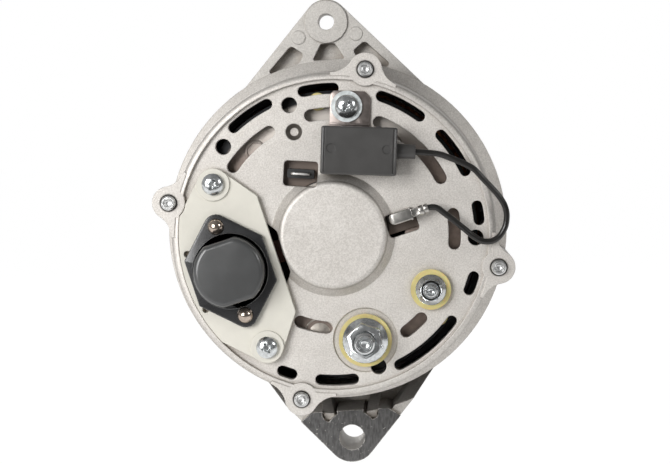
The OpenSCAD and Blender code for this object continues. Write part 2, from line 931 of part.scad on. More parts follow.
module regulator_plate() {
  boss_r = 6.5;
  color("cornsilk")
    place()
      difference() {
        union() {
          span(z_plate, z_face)
            plate_outline();
          intersection() {
            at_plate_screws()
              raise(z_plate - over)
                cylinder(r = boss_r, h = over + 0.8);
            span(z_plate + over, z_face)
              plate_outline();
          }
        }
        at_plate_screws()
          raise(z_face - over)
            cylinder(r = 2.5 + fit, h = plate_h + 3 * over);
        at_regulator()
          for (y = [-10.5, 12.3])
            translate([-56.6 + regulator_r, y - 0.9, z_face - over])
              cylinder(r = 1.35, h = plate_h + 2 * over);
        at_rivets()
          raise(z_face - over)
            cylinder(r = 2 + fit, h = plate_h + 2 * over);
      }
}

module regulator_base() {
  end_r = 4.8;
  side_x = 15.5;
  side_y = 9.1;
  color("darkslategray")
    place()
      at_regulator()
        span(z_can, z_plate)
          difference() {
            rounded([[side_x, -side_y, 0.4], [side_x, side_y, 0.4], [0, rivet_half, end_r],
              [-side_x, side_y, 0.4], [-side_x, -side_y, 0.4], [0, -rivet_half, end_r]]);
            for (side = [-1, 1])
              translate([0, side * rivet_half])
                circle(r = 2 + fit);
          }
}

module regulator_can() {
  rim_h = 1.2;
  wall_r = can_r - 1;
  top_r = can_r - 2.1;
  edge = 2.4;
  flat = can_r - 2.6;
  z_top = z_can + can_h;
  color("dimgray")
    place()
      at_regulator()
        intersection() {
          rotate_extrude() {
            polygon([[0, z_can], [can_r, z_can], [can_r, z_can + rim_h - 0.4],
              [can_r - 0.4, z_can + rim_h], [wall_r, z_can + rim_h],
              [top_r, z_top - edge], [top_r - edge, z_top], [0, z_top]]);
            translate([top_r - edge, z_top - edge])
              circle(r = edge);
          }
          union() {
            span(z_can + rim_h, z_can)
              circle(r = can_r + over);
            span(z_top + over, z_can)
              square([2 * can_r + 2 * over, 2 * flat], center = true);
          }
        }
}

module regulator_rivets() {
  dome_r = 3.2;
  dome_h = 2.5;
  ball_r = (dome_r * dome_r + dome_h * dome_h) / (2 * dome_h);
  color("lightgray")
    place()
      at_rivets() {
        raise(z_face)
          cylinder(r = 2, h = z_can - z_face);
        intersection() {
          raise(z_can + dome_h - ball_r)
            sphere(r = ball_r);
          raise(z_can)
            cylinder(r = dome_r + over, h = dome_h + over);
        }
      }
}

// A pan head with a crossed recess, its seat at height zero
module pan_head(r, h) {
  ball_r = (r * r + h * h) / (2 * h) + 0.4;
  difference() {
    intersection() {
      raise(h - ball_r)
        sphere(r = ball_r);
      cylinder(r = r, h = h + over);
    }
    for (turn = [0, 90])
      rotate([0, 0, turn])
        translate([-r * 0.5, -0.55, h * 0.4])
          cube([r, 1.1, h]);
  }
}

module plate_screws() {
  color("lightsteelblue")
    place()
      at_plate_screws() {
        raise(z_plate + 0.8)
          pan_head(4.3, 2.8);
        raise(z_inside - 1)
          cylinder(r = 2.5, h = z_plate + 1.8 - z_inside);
      }
}

// Brush gear, drawn along the line from the regulator to the shaft
module at_brush_line() {
  rotate([0, 0, regulator_angle])
    children();
}

brush_tip = ring_r + running;
brush_back = brush_tip + brush_length;
brush_channel = brush_back + brush_travel + 10.6;
holder_front = ring_r + 4;
holder_half = brush_t / 2 + 0.1 + holder_wall;
column_front = rear_bearing_r + 10;

module brush_channels(gap) {
  for (z = z_rings)
    translate([-brush_channel, -brush_t / 2 - gap, z - brush_w / 2 - gap])
      cube([brush_channel - ring_r, brush_t + 2 * gap, brush_w + 2 * gap]);
}

module brush_holder() {
  top = z_rings[0] + brush_w / 2 + holder_wall;
  bottom = z_rings[1] - brush_w / 2 - holder_wall;
  color("saddlebrown")
    place()
      at_brush_line()
        difference() {
          union() {
            translate([-brush_channel - 1, -holder_half, bottom])
              cube([brush_channel + 1 - holder_front, 2 * holder_half, top - bottom]);
            translate([-brush_channel - 1, -holder_half, top - over])
              cube([brush_channel + 1 - column_front, 2 * holder_half, z_face - top + over]);
          }
          brush_channels(0.1);
        }
}

module brush(z) {
  color("black")
    place()
      at_brush_line()
        difference() {
          translate([-brush_back, -brush_t / 2, z - brush_w / 2])
            cube([brush_length + 1, brush_t, brush_w]);
          raise(z - brush_w)
            cylinder(r = brush_tip, h = 2 * brush_w);
        }
}

module rear_brush() {
  brush(z_rings[0]);
}

module front_brush() {
  brush(z_rings[1]);
}

module brush_spring(z) {
  turns = 7;
  per_turn = 8;
  coil_r = 1.8;
  wire_r = 0.35;
  from = -brush_back - wire_r - fit;
  to = -brush_channel + wire_r + fit;
  steps = turns * per_turn;
  route = [for (i = [0:steps])
    [from + (to - from) * i / steps, coil_r * cos(i * 360 / per_turn),
      z + coil_r * sin(i * 360 / per_turn)]];
  color("gray")
    place()
      at_brush_line()
        skin([for (i = [0:steps])
          let (a = i * 360 / per_turn, spoke = [0, cos(a), sin(a)])
            [for (j = [0:5])
              route[i] + wire_r * (cos(j * 60) * spoke + sin(j * 60) * [1, 0, 0])]]);
}

module rear_brush_spring() {
  brush_spring(z_rings[0]);
}

module front_brush_spring() {
  brush_spring(z_rings[1]);
}

// Suppressor capacitor
module at_capacitor() {
  translate([capacitor_at[0], capacitor_at[1], 0])
    rotate([0, 0, capacitor_turn])
      children();
}

outlet_z = z_strap + 0.42 * capacitor_h;
outlet_length = 7.2;

module capacitor_body() {
  dimple_r = 1.6;
  color("darkslategray")
    place()
      at_capacitor()
        difference() {
          union() {
            span(z_strap + capacitor_h, z_strap)
              rounded_box(capacitor_l, capacitor_w, 0.9);
            translate([capacitor_l / 2 - over, 0.2, outlet_z])
              rotate([0, 90, 0])
                cylinder(r = outlet_r, h = outlet_length + over);
          }
          for (x = [-0.37, 0.37])
            translate([x * capacitor_l, 0.8, z_strap + capacitor_h - 0.8])
              cylinder(r = dimple_r, h = 2);
          translate([capacitor_l / 2 + outlet_length - 1.6, 0.2, outlet_z])
            rotate([0, 90, 0])
              cylinder(r = lead_r + 0.1, h = 3);
        }
}

module capacitor_strap() {
  strap_w = 15.8;
  tip_y = 56.2;
  corner = 1.6;
  foot_y = capacitor_at[1] + 1;
  color("dimgray")
    place()
      span(z_strap, z_face)
        difference() {
          translate([6.4, (tip_y + foot_y) / 2])
            rotate(capacitor_turn)
              rounded_box(strap_w, tip_y - foot_y, corner);
          translate(capacitor_screw_at)
            circle(r = 2.5 + fit);
        }
}

module capacitor_washer() {
  color("lightsteelblue")
    place()
      translate([capacitor_screw_at[0], capacitor_screw_at[1], 0])
        tube(6.1, 2.5 + fit, z_strap + 1, z_strap);
}

module capacitor_screw() {
  color("lightsteelblue")
    place()
      translate([capacitor_screw_at[0], capacitor_screw_at[1], 0]) {
        raise(z_strap + 1)
          pan_head(4.5, 3);
        raise(z_inside - 1)
          cylinder(r = 2.5, h = z_strap + 2.2 - z_inside);
      }
}

// Route of the lead from the capacitor to the push-on terminal
lead_start = capacitor_at + [capacitor_l / 2 + outlet_length - 1.5, -0.4];
lead_route = [[lead_start[0], lead_start[1], outlet_z], [37, 32.2, 4.2], [41.5, 31.6, 4.4],
  [46, 30, 4.8], [50.5, 28.2, 5], [54.5, 26, 5], [58, 22.4, 4.8], [61.6, 18.6, 4.6],
  [65, 14.6, 4.2], [67, 10.6, 3.6], [67.4, 6.4, 3], [66.3, 2.2, 2.8], [63.4, -1.2, 3],
  [59.2, -2.2, 3.2], [55, -0.4, 3.4], [51, 2.8, 3.6], [47, 6, 3.6], [43, 9, 3.4],
  [40.2, 10.9, 3.2], [37.9, 11.05, 3], [36.55, 10.68, 3]];

module capacitor_lead() {
  color("black")
    place()
      skin([for (i = [0:len(lead_route) - 1])
        ring_at(lead_route[i], tangent(lead_route, i), lead_r, tube_sides)]);
}

// Push-on terminal that covers the charge lamp blade
module lead_terminal() {
  shell_l = 9.6;
  shell_w = 4.5;
  z_top = z_face + 6.4;
  z_mouth = z_face + 0.6;
  crimp_z = 3;
  crimp_l = 4.8;
  color("silver")
    place()
      translate([d_blade_at[0], d_blade_at[1], 0])
        rotate([0, 0, regulator_angle]) {
          span(z_top, z_mouth)
            difference() {
              rounded_box(shell_l, shell_w, 2);
              square([blade_w + 0.4, blade_h + 0.2], center = true);
            }
          translate([shell_l / 2 - 0.4, -1.6, crimp_z - 1.6])
            cube([2.4, 3.2, 0.8]);
          translate([shell_l / 2 + 1.6, 0, crimp_z])
            rotate([0, 90, 0])
              difference() {
                cylinder(r = lead_r + 0.7, h = crimp_l);
                raise(1)
                  cylinder(r = lead_r + 0.1, h = crimp_l);
              }
        }
}

// Terminals
module flange_nut(size, hole_r, z) {
  across_flats = size[0];
  h = size[3];
  difference() {
    union() {
      raise(z)
        cylinder(r = size[1], h = size[2] * 0.5);
      raise(z + size[2] * 0.5)
        cylinder(r1 = size[1], r2 = across_flats * 0.52, h = size[2]);
      intersection() {
        hexagon(across_flats, z + h, z);
        raise(z + h - across_flats * 0.62)
          sphere(r = across_flats * 0.68 + h * 0.1);
      }
    }
    raise(z - over)
      cylinder(r = hole_r, h = h + 2 * over);
  }
}

// A stud whose free thread reaches from above its nut up to its top
module stud(r, top, free, bottom) {
  chamfer = 0.8;
  raise(bottom)
    cylinder(r = r * thread_share, h = free - bottom + over);
  raise(free)
    cylinder(r = r, h = top - chamfer - free);
  raise(top - chamfer)
    cylinder(r1 = r, r2 = r - chamfer, h = chamfer);
}

z_battery_washer = z_face - 0.6;
z_battery_nut = z_battery_washer + washer_h;
z_lamp_nut = z_face + washer_h;
z_battery_head = z_positive - diode_plate_h;
z_board = z_battery_head - 6.4;

module battery_stud() {
  color("silver")
    place()
      translate([battery_at[0], battery_at[1], 0]) {
        stud(battery_r, battery_stand, z_battery_nut + battery_nut_size[3] + thread_gap,
          z_battery_head - 5);
        hexagon(13, z_battery_head, z_battery_head - 5);
      }
}

module battery_insulator() {
  color("khaki")
    place()
      translate([battery_at[0], battery_at[1], 0]) {
        tube(battery_washer_r, battery_r + fit, z_battery_nut, z_battery_washer);
        tube(battery_r + 2.2, battery_r + fit, z_battery_washer + 0.5, z_inside + 0.4);
        tube(battery_r + 4.5, battery_r + fit, z_inside, z_positive);
      }
}

module battery_nut() {
  color("lightsteelblue")
    place()
      translate([battery_at[0], battery_at[1], 0])
        flange_nut(battery_nut_size, battery_r * thread_share + fit, z_battery_nut);
}

module lamp_stud() {
  color("silver")
    place()
      translate([lamp_at[0], lamp_at[1], 0]) {
        stud(lamp_r, lamp_stand, z_lamp_nut + lamp_nut_size[3] + thread_gap, z_board - 5);
        hexagon(8, z_board - 2, z_board - 5);
      }
}

module lamp_insulator() {
  color("khaki")
    place()
      translate([lamp_at[0], lamp_at[1], 0]) {
        tube(lamp_washer_r, lamp_r + fit, z_lamp_nut, z_face);
        tube(lamp_r + 1.8, lamp_r + fit, z_face + 0.5, z_inside + 0.4);
        tube(lamp_r + 3, lamp_r + fit, z_inside, z_positive);
      }
}

module lamp_nut() {
  color("lightsteelblue")
    place()
      translate([lamp_at[0], lamp_at[1], 0])
        flange_nut(lamp_nut_size, lamp_r * thread_share + fit, z_lamp_nut);
}

module at_blades() {
  translate([w_blade_at[0], w_blade_at[1], 0])
    rotate([0, 0, -3])
      children();
  translate([d_blade_at[0], d_blade_at[1], 0])
    rotate([0, 0, regulator_angle])
      children();
}

module blade_terminals() {
  color("silver")
    place()
      at_blades()
        translate([-blade_w / 2, -blade_h / 2, z_inside - 0.8])
          cube([blade_w, blade_h, 3.2 - z_inside]);
}

module blade_insulators() {
  block_l = 10.6;
  block_w = 3.6;
  hub_clear = rear_bearing_r + 4.3;
  color("black")
    place()
      difference() {
        at_blades()
          union() {
            span(z_face - 0.6, z_inside - inner_washer_h)
              rounded_box(block_l, block_w, 0.6);
            span(z_inside, z_inside - inner_washer_h)
              rounded_box(slot_sizes[0] + 2, slot_sizes[1] + 1.6, 1);
          }
        at_blades()
          translate([-blade_w / 2 - fit, -blade_h / 2 - fit, z_inside - 0.8 - fit])
            cube([blade_w + 2 * fit, blade_h + 2 * fit, 20]);
        raise(z_inside - 10)
          cylinder(r = hub_clear, h = 20);
      }
}

// Rectifier
module diode_plate_outline() {
  intersection() {
    difference() {
      circle(r = diode_plate_out_r);
      circle(r = diode_plate_in_r);
    }
    sector(plate_sweep[0], plate_sweep[1]);
  }
}

module at_rectifier_screws() {
  for (a = rectifier_screw_angles)
    at_angle(rectifier_screw_r, a)
      children();
}

module diode_plate(top, diode_angles) {
  difference() {
    span(top, top - diode_plate_h)
      diode_plate_outline();
    for (a = diode_angles)
      at_angle(diode_circle_r, a)
        raise(top - diode_plate_h - over)
          cylinder(r = diode_r + fit, h = diode_plate_h + 2 * over);
    at_rectifier_screws()
      raise(top - diode_plate_h - over)
        cylinder(r = 2 + running, h = diode_plate_h + 2 * over);
  }
}

module positive_plate() {
  color("darkgray")
    place()
      difference() {
        diode_plate(z_positive, positive_diode_angles);
        translate([battery_at[0], battery_at[1], z_positive - diode_plate_h - over])
          cylinder(r = battery_r + fit, h = diode_plate_h + 2 * over);
        translate([lamp_at[0], lamp_at[1], z_positive - diode_plate_h - over])
          cylinder(r = lamp_r + 2.5, h = diode_plate_h + 2 * over);
      }
}

module negative_plate() {
  color("darkgray")
    place()
      diode_plate(z_negative, negative_diode_angles);
}

module power_diode(length) {
  cylinder(r = diode_r, h = length * 0.6);
  raise(length * 0.6)
    cylinder(r1 = diode_r - 1, r2 = 2, h = length * 0.2);
  raise(length * 0.8 - fit)
    cylinder(r = 0.8, h = length * 0.5);
}

module positive_diodes() {
  color("gray")
    place()
      for (a = positive_diode_angles)
        at_angle(diode_circle_r, a)
          raise(z_positive)
            mirror([0, 0, 1])
              power_diode(10);
}

module negative_diodes() {
  color("gray")
    place()
      for (a = negative_diode_angles)
        at_angle(diode_circle_r, a)
          raise(z_negative - diode_plate_h)
            power_diode(10);
}

// Three small diodes moulded on one board, held by the charge lamp stud
module exciter_module() {
  board_h = 2;
  diode_h = 5;
  color("black")
    place()
      difference() {
        union() {
          span(z_board, z_board - board_h)
            intersection() {
              difference() {
                circle(r = 48);
                circle(r = 33);
              }
              sector(-50, 6);
            }
          for (a = [-44, -14, 0])
            at_angle(38, a)
              raise(z_board - board_h - diode_h)
                cylinder(r = 2.4, h = diode_h + 0.5);
        }
        translate([lamp_at[0], lamp_at[1], z_board - board_h - over])
          cylinder(r = lamp_r + fit, h = board_h + 2 * over);
      }
}

module rectifier_spacers() {
  sleeve_r = 3.5;
  color("khaki")
    place()
      at_rectifier_screws() {
        tube(sleeve_r, 2 + fit, z_inside, z_positive);
        tube(sleeve_r, 2 + fit, z_positive - diode_plate_h, z_negative);
      }
}

module rectifier_screws() {
  head_h = 2.2;
  bottom = z_negative - diode_plate_h;
  color("lightsteelblue")
    place()
      at_rectifier_screws() {
        raise(bottom - head_h)
          cylinder(r = 3.5, h = head_h);
        raise(bottom - over)
          cylinder(r = 2, h = z_inside + 2.4 - bottom + over);
      }
}

// Ball bearings
rear_pitch_r = (rear_bearing_r + rear_shaft_r) / 2;
front_pitch_r = (front_bearing_r + shaft_r) / 2;
race_gap = 0.12;
z_rear_race = z_rear_bearing - rear_bearing_w / 2;
z_front_race = z_front_bearing - front_bearing_w / 2;

module race(from, to, pitch_r, ball_r, width, z) {
  rotate_extrude()
    difference() {
      translate([from, z - width / 2])
        square([to - from, width]);
      translate([pitch_r, z])
        circle(r = ball_r + race_gap);
    }
}

module balls(pitch_r, ball_r, count, z) {
  for (i = [0:count - 1])
    at_angle(pitch_r, i * 360 / count)
      raise(z)
        sphere(r = ball_r);
}

module cage(pitch_r, ball_r, count, z, half_h) {
  half_w = ball_r * 0.27;
  difference() {
    tube(pitch_r + half_w, pitch_r - half_w, z + half_h, z - half_h);
    for (i = [0:count - 1])
      at_angle(pitch_r, i * 360 / count)
        raise(z)
          rotate([0, 90, 0])
            cylinder(r = ball_r + 0.15, h = ball_r, center = true);
  }
}

module rear_bearing_outer() {
  color("silver")
    place()
      race(rear_pitch_r + rear_ball_r * 0.62, rear_bearing_r - fit, rear_pitch_r,
        rear_ball_r, rear_bearing_w, z_rear_race);
}

module rear_bearing_inner() {
  color("silver")
    place()
      race(rear_shaft_r + fit, rear_pitch_r - rear_ball_r * 0.62, rear_pitch_r,
        rear_ball_r, rear_bearing_w, z_rear_race);
}

module rear_bearing_balls() {
  color("silver")
    place()
      balls(rear_pitch_r, rear_ball_r, rear_ball_count, z_rear_race);
}

module rear_bearing_cage() {
  color("goldenrod")
    place()
      cage(rear_pitch_r, rear_ball_r, rear_ball_count, z_rear_race, rear_bearing_w / 2 - 1.4);
}

module front_bearing_outer() {
  color("silver")
    place()
      race(front_pitch_r + front_ball_r * 0.72, front_bearing_r - fit, front_pitch_r,
        front_ball_r, front_bearing_w, z_front_race);
}

module front_bearing_inner() {
  color("silver")
    place()
      race(shaft_r + fit, front_pitch_r - front_ball_r * 0.72, front_pitch_r,
        front_ball_r, front_bearing_w, z_front_race);
}

module front_bearing_balls() {
  color("silver")
    place()
      balls(front_pitch_r, front_ball_r, front_ball_count, z_front_race);
}

module front_bearing_cage() {
  color("goldenrod")
    place()
      cage(front_pitch_r, front_ball_r, front_ball_count, z_front_race,
        front_bearing_w / 2 - 1.6);
}

module seal_pair(pitch_r, ball_r, reach, width, z) {
  r_out = pitch_r + ball_r * reach - fit;
  r_in = pitch_r - ball_r * reach + running;
  for (end = [0, 1])
    let (top = z + width / 2 - end * (width - seal_h))
      tube(r_out, r_in, top, top - seal_h);
}

module bearing_seals() {
  color("black")
    place() {
      seal_pair(rear_pitch_r, rear_ball_r, 0.62, rear_bearing_w, z_rear_race);
      seal_pair(front_pitch_r, front_ball_r, 0.72, front_bearing_w, z_front_race);
    }
}

module at_retainer_screws() {
  for (i = [0:2])
    at_angle(front_bearing_r + 3.6, 120 * i + 30)
      children();
}

module retainer_plate() {
  color("silver")
    place()
      span(z_front_bearing + retainer_h, z_front_bearing)
        difference() {
          circle(r = front_hub_r - 0.4);
          circle(r = front_bearing_r - 4);
          for (i = [0:2])
            rotate(120 * i + 30)
              translate([front_bearing_r + 3.6, 0])
                circle(r = 2 + fit);
        }
}

module retainer_screws() {
  head_h = 1.6;
  color("lightsteelblue")
    place()
      at_retainer_screws() {
        raise(z_front_bearing + retainer_h)
          cylinder(r = 3.3, h = head_h);
        raise(z_front_bearing - 7.5)
          cylinder(r = 2, h = retainer_h + 7.5 + 0.5);
      }
}

// Rotor
key_r = 6.5;
key_w = 4;
key_out = 1.7;
z_key = z_pulley_hub - key_r - 1.5;

module key_disc(extra) {
  translate([0, key_w / 2 + extra, z_key])
    rotate([90, 0, 0])
      linear_extrude(key_w + 2 * extra)
        intersection() {
          translate([shaft_r + key_out + 1.5, 0])
            circle(r = key_r + extra);
          translate([0, -2 * key_r])
            square([shaft_r + key_out, 4 * key_r]);
        }
}

module rotor_shaft() {
  chamfer = 0.8;
  collar_r = 11;
  z_rear = z_rear_bearing + 0.8;
  color("lightgray")
    place() {
      difference() {
        rotate_extrude()
          polygon([[0, z_rear], [rear_shaft_r - chamfer, z_rear], [rear_shaft_r, z_rear - chamfer],
            [rear_shaft_r, z_rear_bearing_in], [shaft_r, z_rear_bearing_in],
            [shaft_r, z_rotor_front], [collar_r, z_rotor_front], [collar_r, z_front_bearing],
            [shaft_r, z_front_bearing], [shaft_r, z_nut_seat + 2], [thread_r, z_nut_seat + 2],
            [thread_r, z_shaft_front + chamfer], [thread_r - chamfer, z_shaft_front],
            [0, z_shaft_front]]);
        key_disc(fit);
      }
    }
}

module shaft_key() {
  color("gray")
    place()
      key_disc(0);
}

module radial_prism(outline, from, to) {
  rotate([90, 0, 90])
    raise(from)
      linear_extrude(to - from)
        polygon(outline);
}

// One claw pole, its outer face at height zero and its claws upwards
module claw_pole() {
  tip = rotor_length - 2;
  half_core = rotor_length / 2;
  under_root = rotor_r - 9.5;
  under_tip = rotor_r - 3.5;
  root = claw_root_w / 2;
  end = claw_tip_w / 2;
  knee = claw_disc_h * 0.6;
  intersection() {
    rotate_extrude()
      polygon([[shaft_r + fit, 0], [rotor_r - 2, 0], [rotor_r, 2], [rotor_r, tip],
        [under_tip, tip], [under_root, claw_disc_h], [core_r, claw_disc_h],
        [core_r, half_core - fit], [shaft_r + fit, half_core - fit]]);
    union() {
      raise(-over)
        cylinder(r = under_root - 5, h = claw_disc_h + 2 * over);
      cylinder(r = core_r + over, h = half_core);
      for (i = [0:claw_count - 1])
        rotate([0, 0, i * 360 / claw_count])
          radial_prism([[-root, -over], [root, -over], [root + 0.4, knee],
            [end, tip + over], [-end, tip + over], [-root - 0.4, knee]],
            under_root - 8, rotor_r + over);
    }
  }
}

module rear_claw_pole() {
  color("slategray")
    place()
      raise(z_rotor_rear)
        mirror([0, 0, 1])
          claw_pole();
}

module front_claw_pole() {
  color("slategray")
    place()
      raise(z_rotor_front)
        rotate([0, 0, 180 / claw_count])
          claw_pole();
}

spool_half = rotor_length / 2 - claw_disc_h - 0.2;

module coil_bobbin() {
  color("ivory")
    place()
      rotate_extrude()
        translate([0, z_middle]) {
          translate([core_r + 0.1, -spool_half])
            square([bobbin_wall, 2 * spool_half]);
          for (z = [-spool_half, spool_half - bobbin_wall])
            translate([core_r + 0.1, z])
              square([coil_r + 0.6 - core_r, bobbin_wall]);
        }
}

module field_coil() {
  inner = core_r + bobbin_wall + 0.15;
  half = spool_half - bobbin_wall - fit;
  color("chocolate")
    place()
      tube(coil_r, inner, z_middle + half, z_middle - half);
}

module slip_ring_sleeve() {
  color("saddlebrown")
    place()
      union() {
        tube(ring_r - ring_wall - fit, shaft_r + fit, z_ring_top + 2, z_rotor_rear);
        tube(ring_r - 0.6, shaft_r + fit, z_rings_end - fit, z_rotor_rear);
      }
}

module slip_rings() {
  color("chocolate")
    place()
      for (z = z_rings)
        tube(ring_r, ring_r - ring_wall, z + ring_w / 2, z - ring_w / 2);
}

module front_spacer() {
  color("silver")
    place()
      tube(shaft_r + 4, shaft_r + fit, z_front_face, z_fan_hub);
}

// Fan
module fan_blades() {
  inner_r = fan_r - 25;
  arc_r = 40;
  z_ring = z_fan_hub - fan_dish;
  span(z_ring + fan_blade_h, z_ring - fan_sheet / 2)
    for (i = [0:blade_count - 1])
      rotate(i * 360 / blade_count)
        intersection() {
          translate([arc_r * 0.45, arc_r * 0.8])
            difference() {
              circle(r = arc_r);
              circle(r = arc_r - fan_sheet);
            }
          difference() {
            circle(r = fan_r - 0.8);
            circle(r = inner_r);
          }
          translate([0, -fan_r])
            square([fan_r, 1.5 * fan_r]);
        }
}

module cooling_fan() {
  z_ring = z_fan_hub - fan_dish;
  hub_r = 20;
  ring_in = 32.5;
  color("darkgray")
    place() {
      rotate_extrude()
        polygon([[shaft_r + fit, z_fan_hub], [hub_r, z_fan_hub], [ring_in, z_ring],
          [fan_r, z_ring], [fan_r, z_ring - fan_sheet], [ring_in - 0.9, z_ring - fan_sheet],
          [hub_r - 0.9, z_fan_hub - fan_sheet], [shaft_r + fit, z_fan_hub - fan_sheet]]);
      fan_blades();
    }
}

// Pulley
module drive_pulley() {
  hub_r = 13.5;
  recess_r = nut_af / 2 + 9;
  floor_half = groove_w / 2 - groove_depth * tan(19);
  z_front = z_pulley_rear - pulley_w;
  color("dimgray")
    place()
      difference() {
        rotate_extrude()
          polygon([[shaft_r + fit, z_pulley_hub], [hub_r, z_pulley_hub], [hub_r, z_pulley_rear],
            [pulley_r, z_pulley_rear], [pulley_r, z_groove + groove_w / 2],
            [pulley_r - groove_depth, z_groove + floor_half],
            [pulley_r - groove_depth, z_groove - floor_half],
            [pulley_r, z_groove - groove_w / 2], [pulley_r, z_front], [recess_r, z_front],
            [recess_r, z_nut_seat], [shaft_r + fit, z_nut_seat]]);
        translate([0, -key_w / 2 - fit, z_nut_seat - over])
          cube([shaft_r + key_out + 0.1, key_w + 2 * fit, z_pulley_hub - z_nut_seat + 2 * over]);
      }
}

module pulley_washer() {
  color("silver")
    place()
      tube(14, shaft_r + fit, z_nut_seat, z_nut);
}

module pulley_nut() {
  color("lightsteelblue")
    place()
      difference() {
        intersection() {
          hexagon(nut_af, z_nut, z_nut - nut_h);
          raise(z_nut - nut_h)
            cylinder(r1 = nut_af / 2, r2 = nut_af / 2 + 2 * nut_h, h = nut_h);
        }
        raise(z_nut - nut_h - over)
          cylinder(r = thread_r + fit, h = nut_h + 2 * over);
      }
}

rear_frame();
drive_frame();
stator_core();
stator_winding();
through_bolts();
regulator_plate();
regulator_base();
regulator_can();
regulator_rivets();
plate_screws();
brush_holder();
rear_brush();
front_brush();
rear_brush_spring();
front_brush_spring();
capacitor_body();
capacitor_strap();
capacitor_screw();
capacitor_washer();
capacitor_lead();
lead_terminal();
battery_stud();
battery_insulator();
battery_nut();
lamp_stud();
lamp_insulator();
lamp_nut();
blade_terminals();
blade_insulators();
positive_plate();
negative_plate();
positive_diodes();
negative_diodes();
exciter_module();
rectifier_spacers();
rectifier_screws();
rear_bearing_outer();
front_bearing_outer();
bearing_seals();
retainer_plate();
retainer_screws();
rotor_shaft();
shaft_key();
rear_claw_pole();
front_claw_pole();
field_coil();
coil_bobbin();
slip_ring_sleeve();
slip_rings();
rear_bearing_inner();
front_bearing_inner();
front_spacer();
cooling_fan();
drive_pulley();
pulley_washer();
pulley_nut();
rear_bearing_balls();
rear_bearing_cage();
front_bearing_balls();
front_bearing_cage();
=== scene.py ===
# %% [markdown]
# # An alternator, seen from its slip-ring end
# This file dresses a finished CAD model for a studio photograph. The CAD nodes
# already have the true shapes and places, so most of them only need a finish.
# Small things that a caliper would not notice but an eye does, such as screw
# recesses, threads, springs, the lead and its crimps, are modelled here.

# %% Load the CAD frame
import math
import bpy
from mathutils import Matrix, Vector
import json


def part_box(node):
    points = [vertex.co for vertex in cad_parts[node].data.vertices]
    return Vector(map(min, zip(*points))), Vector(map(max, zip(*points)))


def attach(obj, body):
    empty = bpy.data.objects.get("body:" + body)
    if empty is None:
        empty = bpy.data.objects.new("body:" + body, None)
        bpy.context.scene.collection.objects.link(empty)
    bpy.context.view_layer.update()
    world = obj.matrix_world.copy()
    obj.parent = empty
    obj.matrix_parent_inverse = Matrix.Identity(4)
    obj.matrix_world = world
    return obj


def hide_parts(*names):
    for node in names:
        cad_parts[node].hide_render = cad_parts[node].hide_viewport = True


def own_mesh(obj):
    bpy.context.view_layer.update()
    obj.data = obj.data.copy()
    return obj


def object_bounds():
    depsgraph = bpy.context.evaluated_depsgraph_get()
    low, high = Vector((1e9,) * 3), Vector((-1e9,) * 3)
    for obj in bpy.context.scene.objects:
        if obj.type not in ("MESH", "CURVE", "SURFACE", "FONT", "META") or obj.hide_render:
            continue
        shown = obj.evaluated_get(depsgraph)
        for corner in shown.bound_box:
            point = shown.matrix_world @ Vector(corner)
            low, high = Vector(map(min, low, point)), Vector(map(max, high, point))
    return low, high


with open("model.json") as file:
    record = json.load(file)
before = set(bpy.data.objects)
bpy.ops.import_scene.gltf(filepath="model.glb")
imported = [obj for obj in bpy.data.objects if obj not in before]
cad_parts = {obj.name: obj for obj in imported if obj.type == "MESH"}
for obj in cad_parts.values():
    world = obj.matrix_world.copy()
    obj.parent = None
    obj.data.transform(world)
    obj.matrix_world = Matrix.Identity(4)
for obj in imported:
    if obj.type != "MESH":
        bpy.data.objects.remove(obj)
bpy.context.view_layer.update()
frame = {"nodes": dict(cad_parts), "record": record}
MM = 0.001
print("nodes", len(frame["nodes"]))

# %% [markdown]
# The alternator was drawn lying on a bench: x to the right, y up, and z along
# the shaft towards the rear face, with z = 0 on the rear rim. One matrix turns
# that bench frame into the frame the model stands in. Every piece is modelled
# on the bench, where its sizes are easy to say, and then stood up.

# %% The bench frame
SPIN = next(j for j in frame["record"]["behaviour"]["joints"] if j["name"] == "rotor_spin")
SHAFT = Vector(SPIN["pos_m"])
BOSS_TOP = 3.25
RIM_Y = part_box("rear_frame")[0][1] + BOSS_TOP * MM
BENCH = Matrix.Translation((SHAFT.x, RIM_Y, SHAFT.z)) @ Matrix.Rotation(math.radians(90), 4, "X")
print("shaft", tuple(SHAFT), "rim plane", round(RIM_Y, 5))


def bench(x, y, z):
    """A point on the bench, in millimetres, as a point of the standing frame."""
    return BENCH @ Vector((x * MM, y * MM, z * MM))


# %% [markdown]
# The photograph was taken with a long lens, a little above and to the right of
# the shaft. How far the foot and the ear have shifted against the rear rim
# gives the distance, and the size of the rim in the picture gives the lens.

# %% Camera
CAMERA_AT = bench(29.1, 40.2, 750)
AIM_AT = bench(0.7, 1.2, 0)
SENSOR_W = 36
FOCAL_PX = 1923
IMAGE_W = 670

camera_data = bpy.data.cameras.new("studio_camera")
camera_data.sensor_width = SENSOR_W
camera_data.lens = FOCAL_PX * SENSOR_W / IMAGE_W
camera_data.clip_end = 20
camera = bpy.data.objects.new("studio_camera", camera_data)
bpy.context.scene.collection.objects.link(camera)
camera.location = CAMERA_AT
camera.rotation_euler = (AIM_AT - CAMERA_AT).to_track_quat("-Z", "Y").to_euler()
bpy.context.scene.camera = camera
bpy.context.scene.view_settings.view_transform = "Standard"
print("lens", round(camera_data.lens, 1), "mm")

# %% [markdown]
# A material is a small graph, and a graph is easier to read as arithmetic. A
# Wire is one socket of the graph, and adding or multiplying wires adds Math
# nodes. A wire of 0 and 1 is a mask, and between() makes one from any wire.

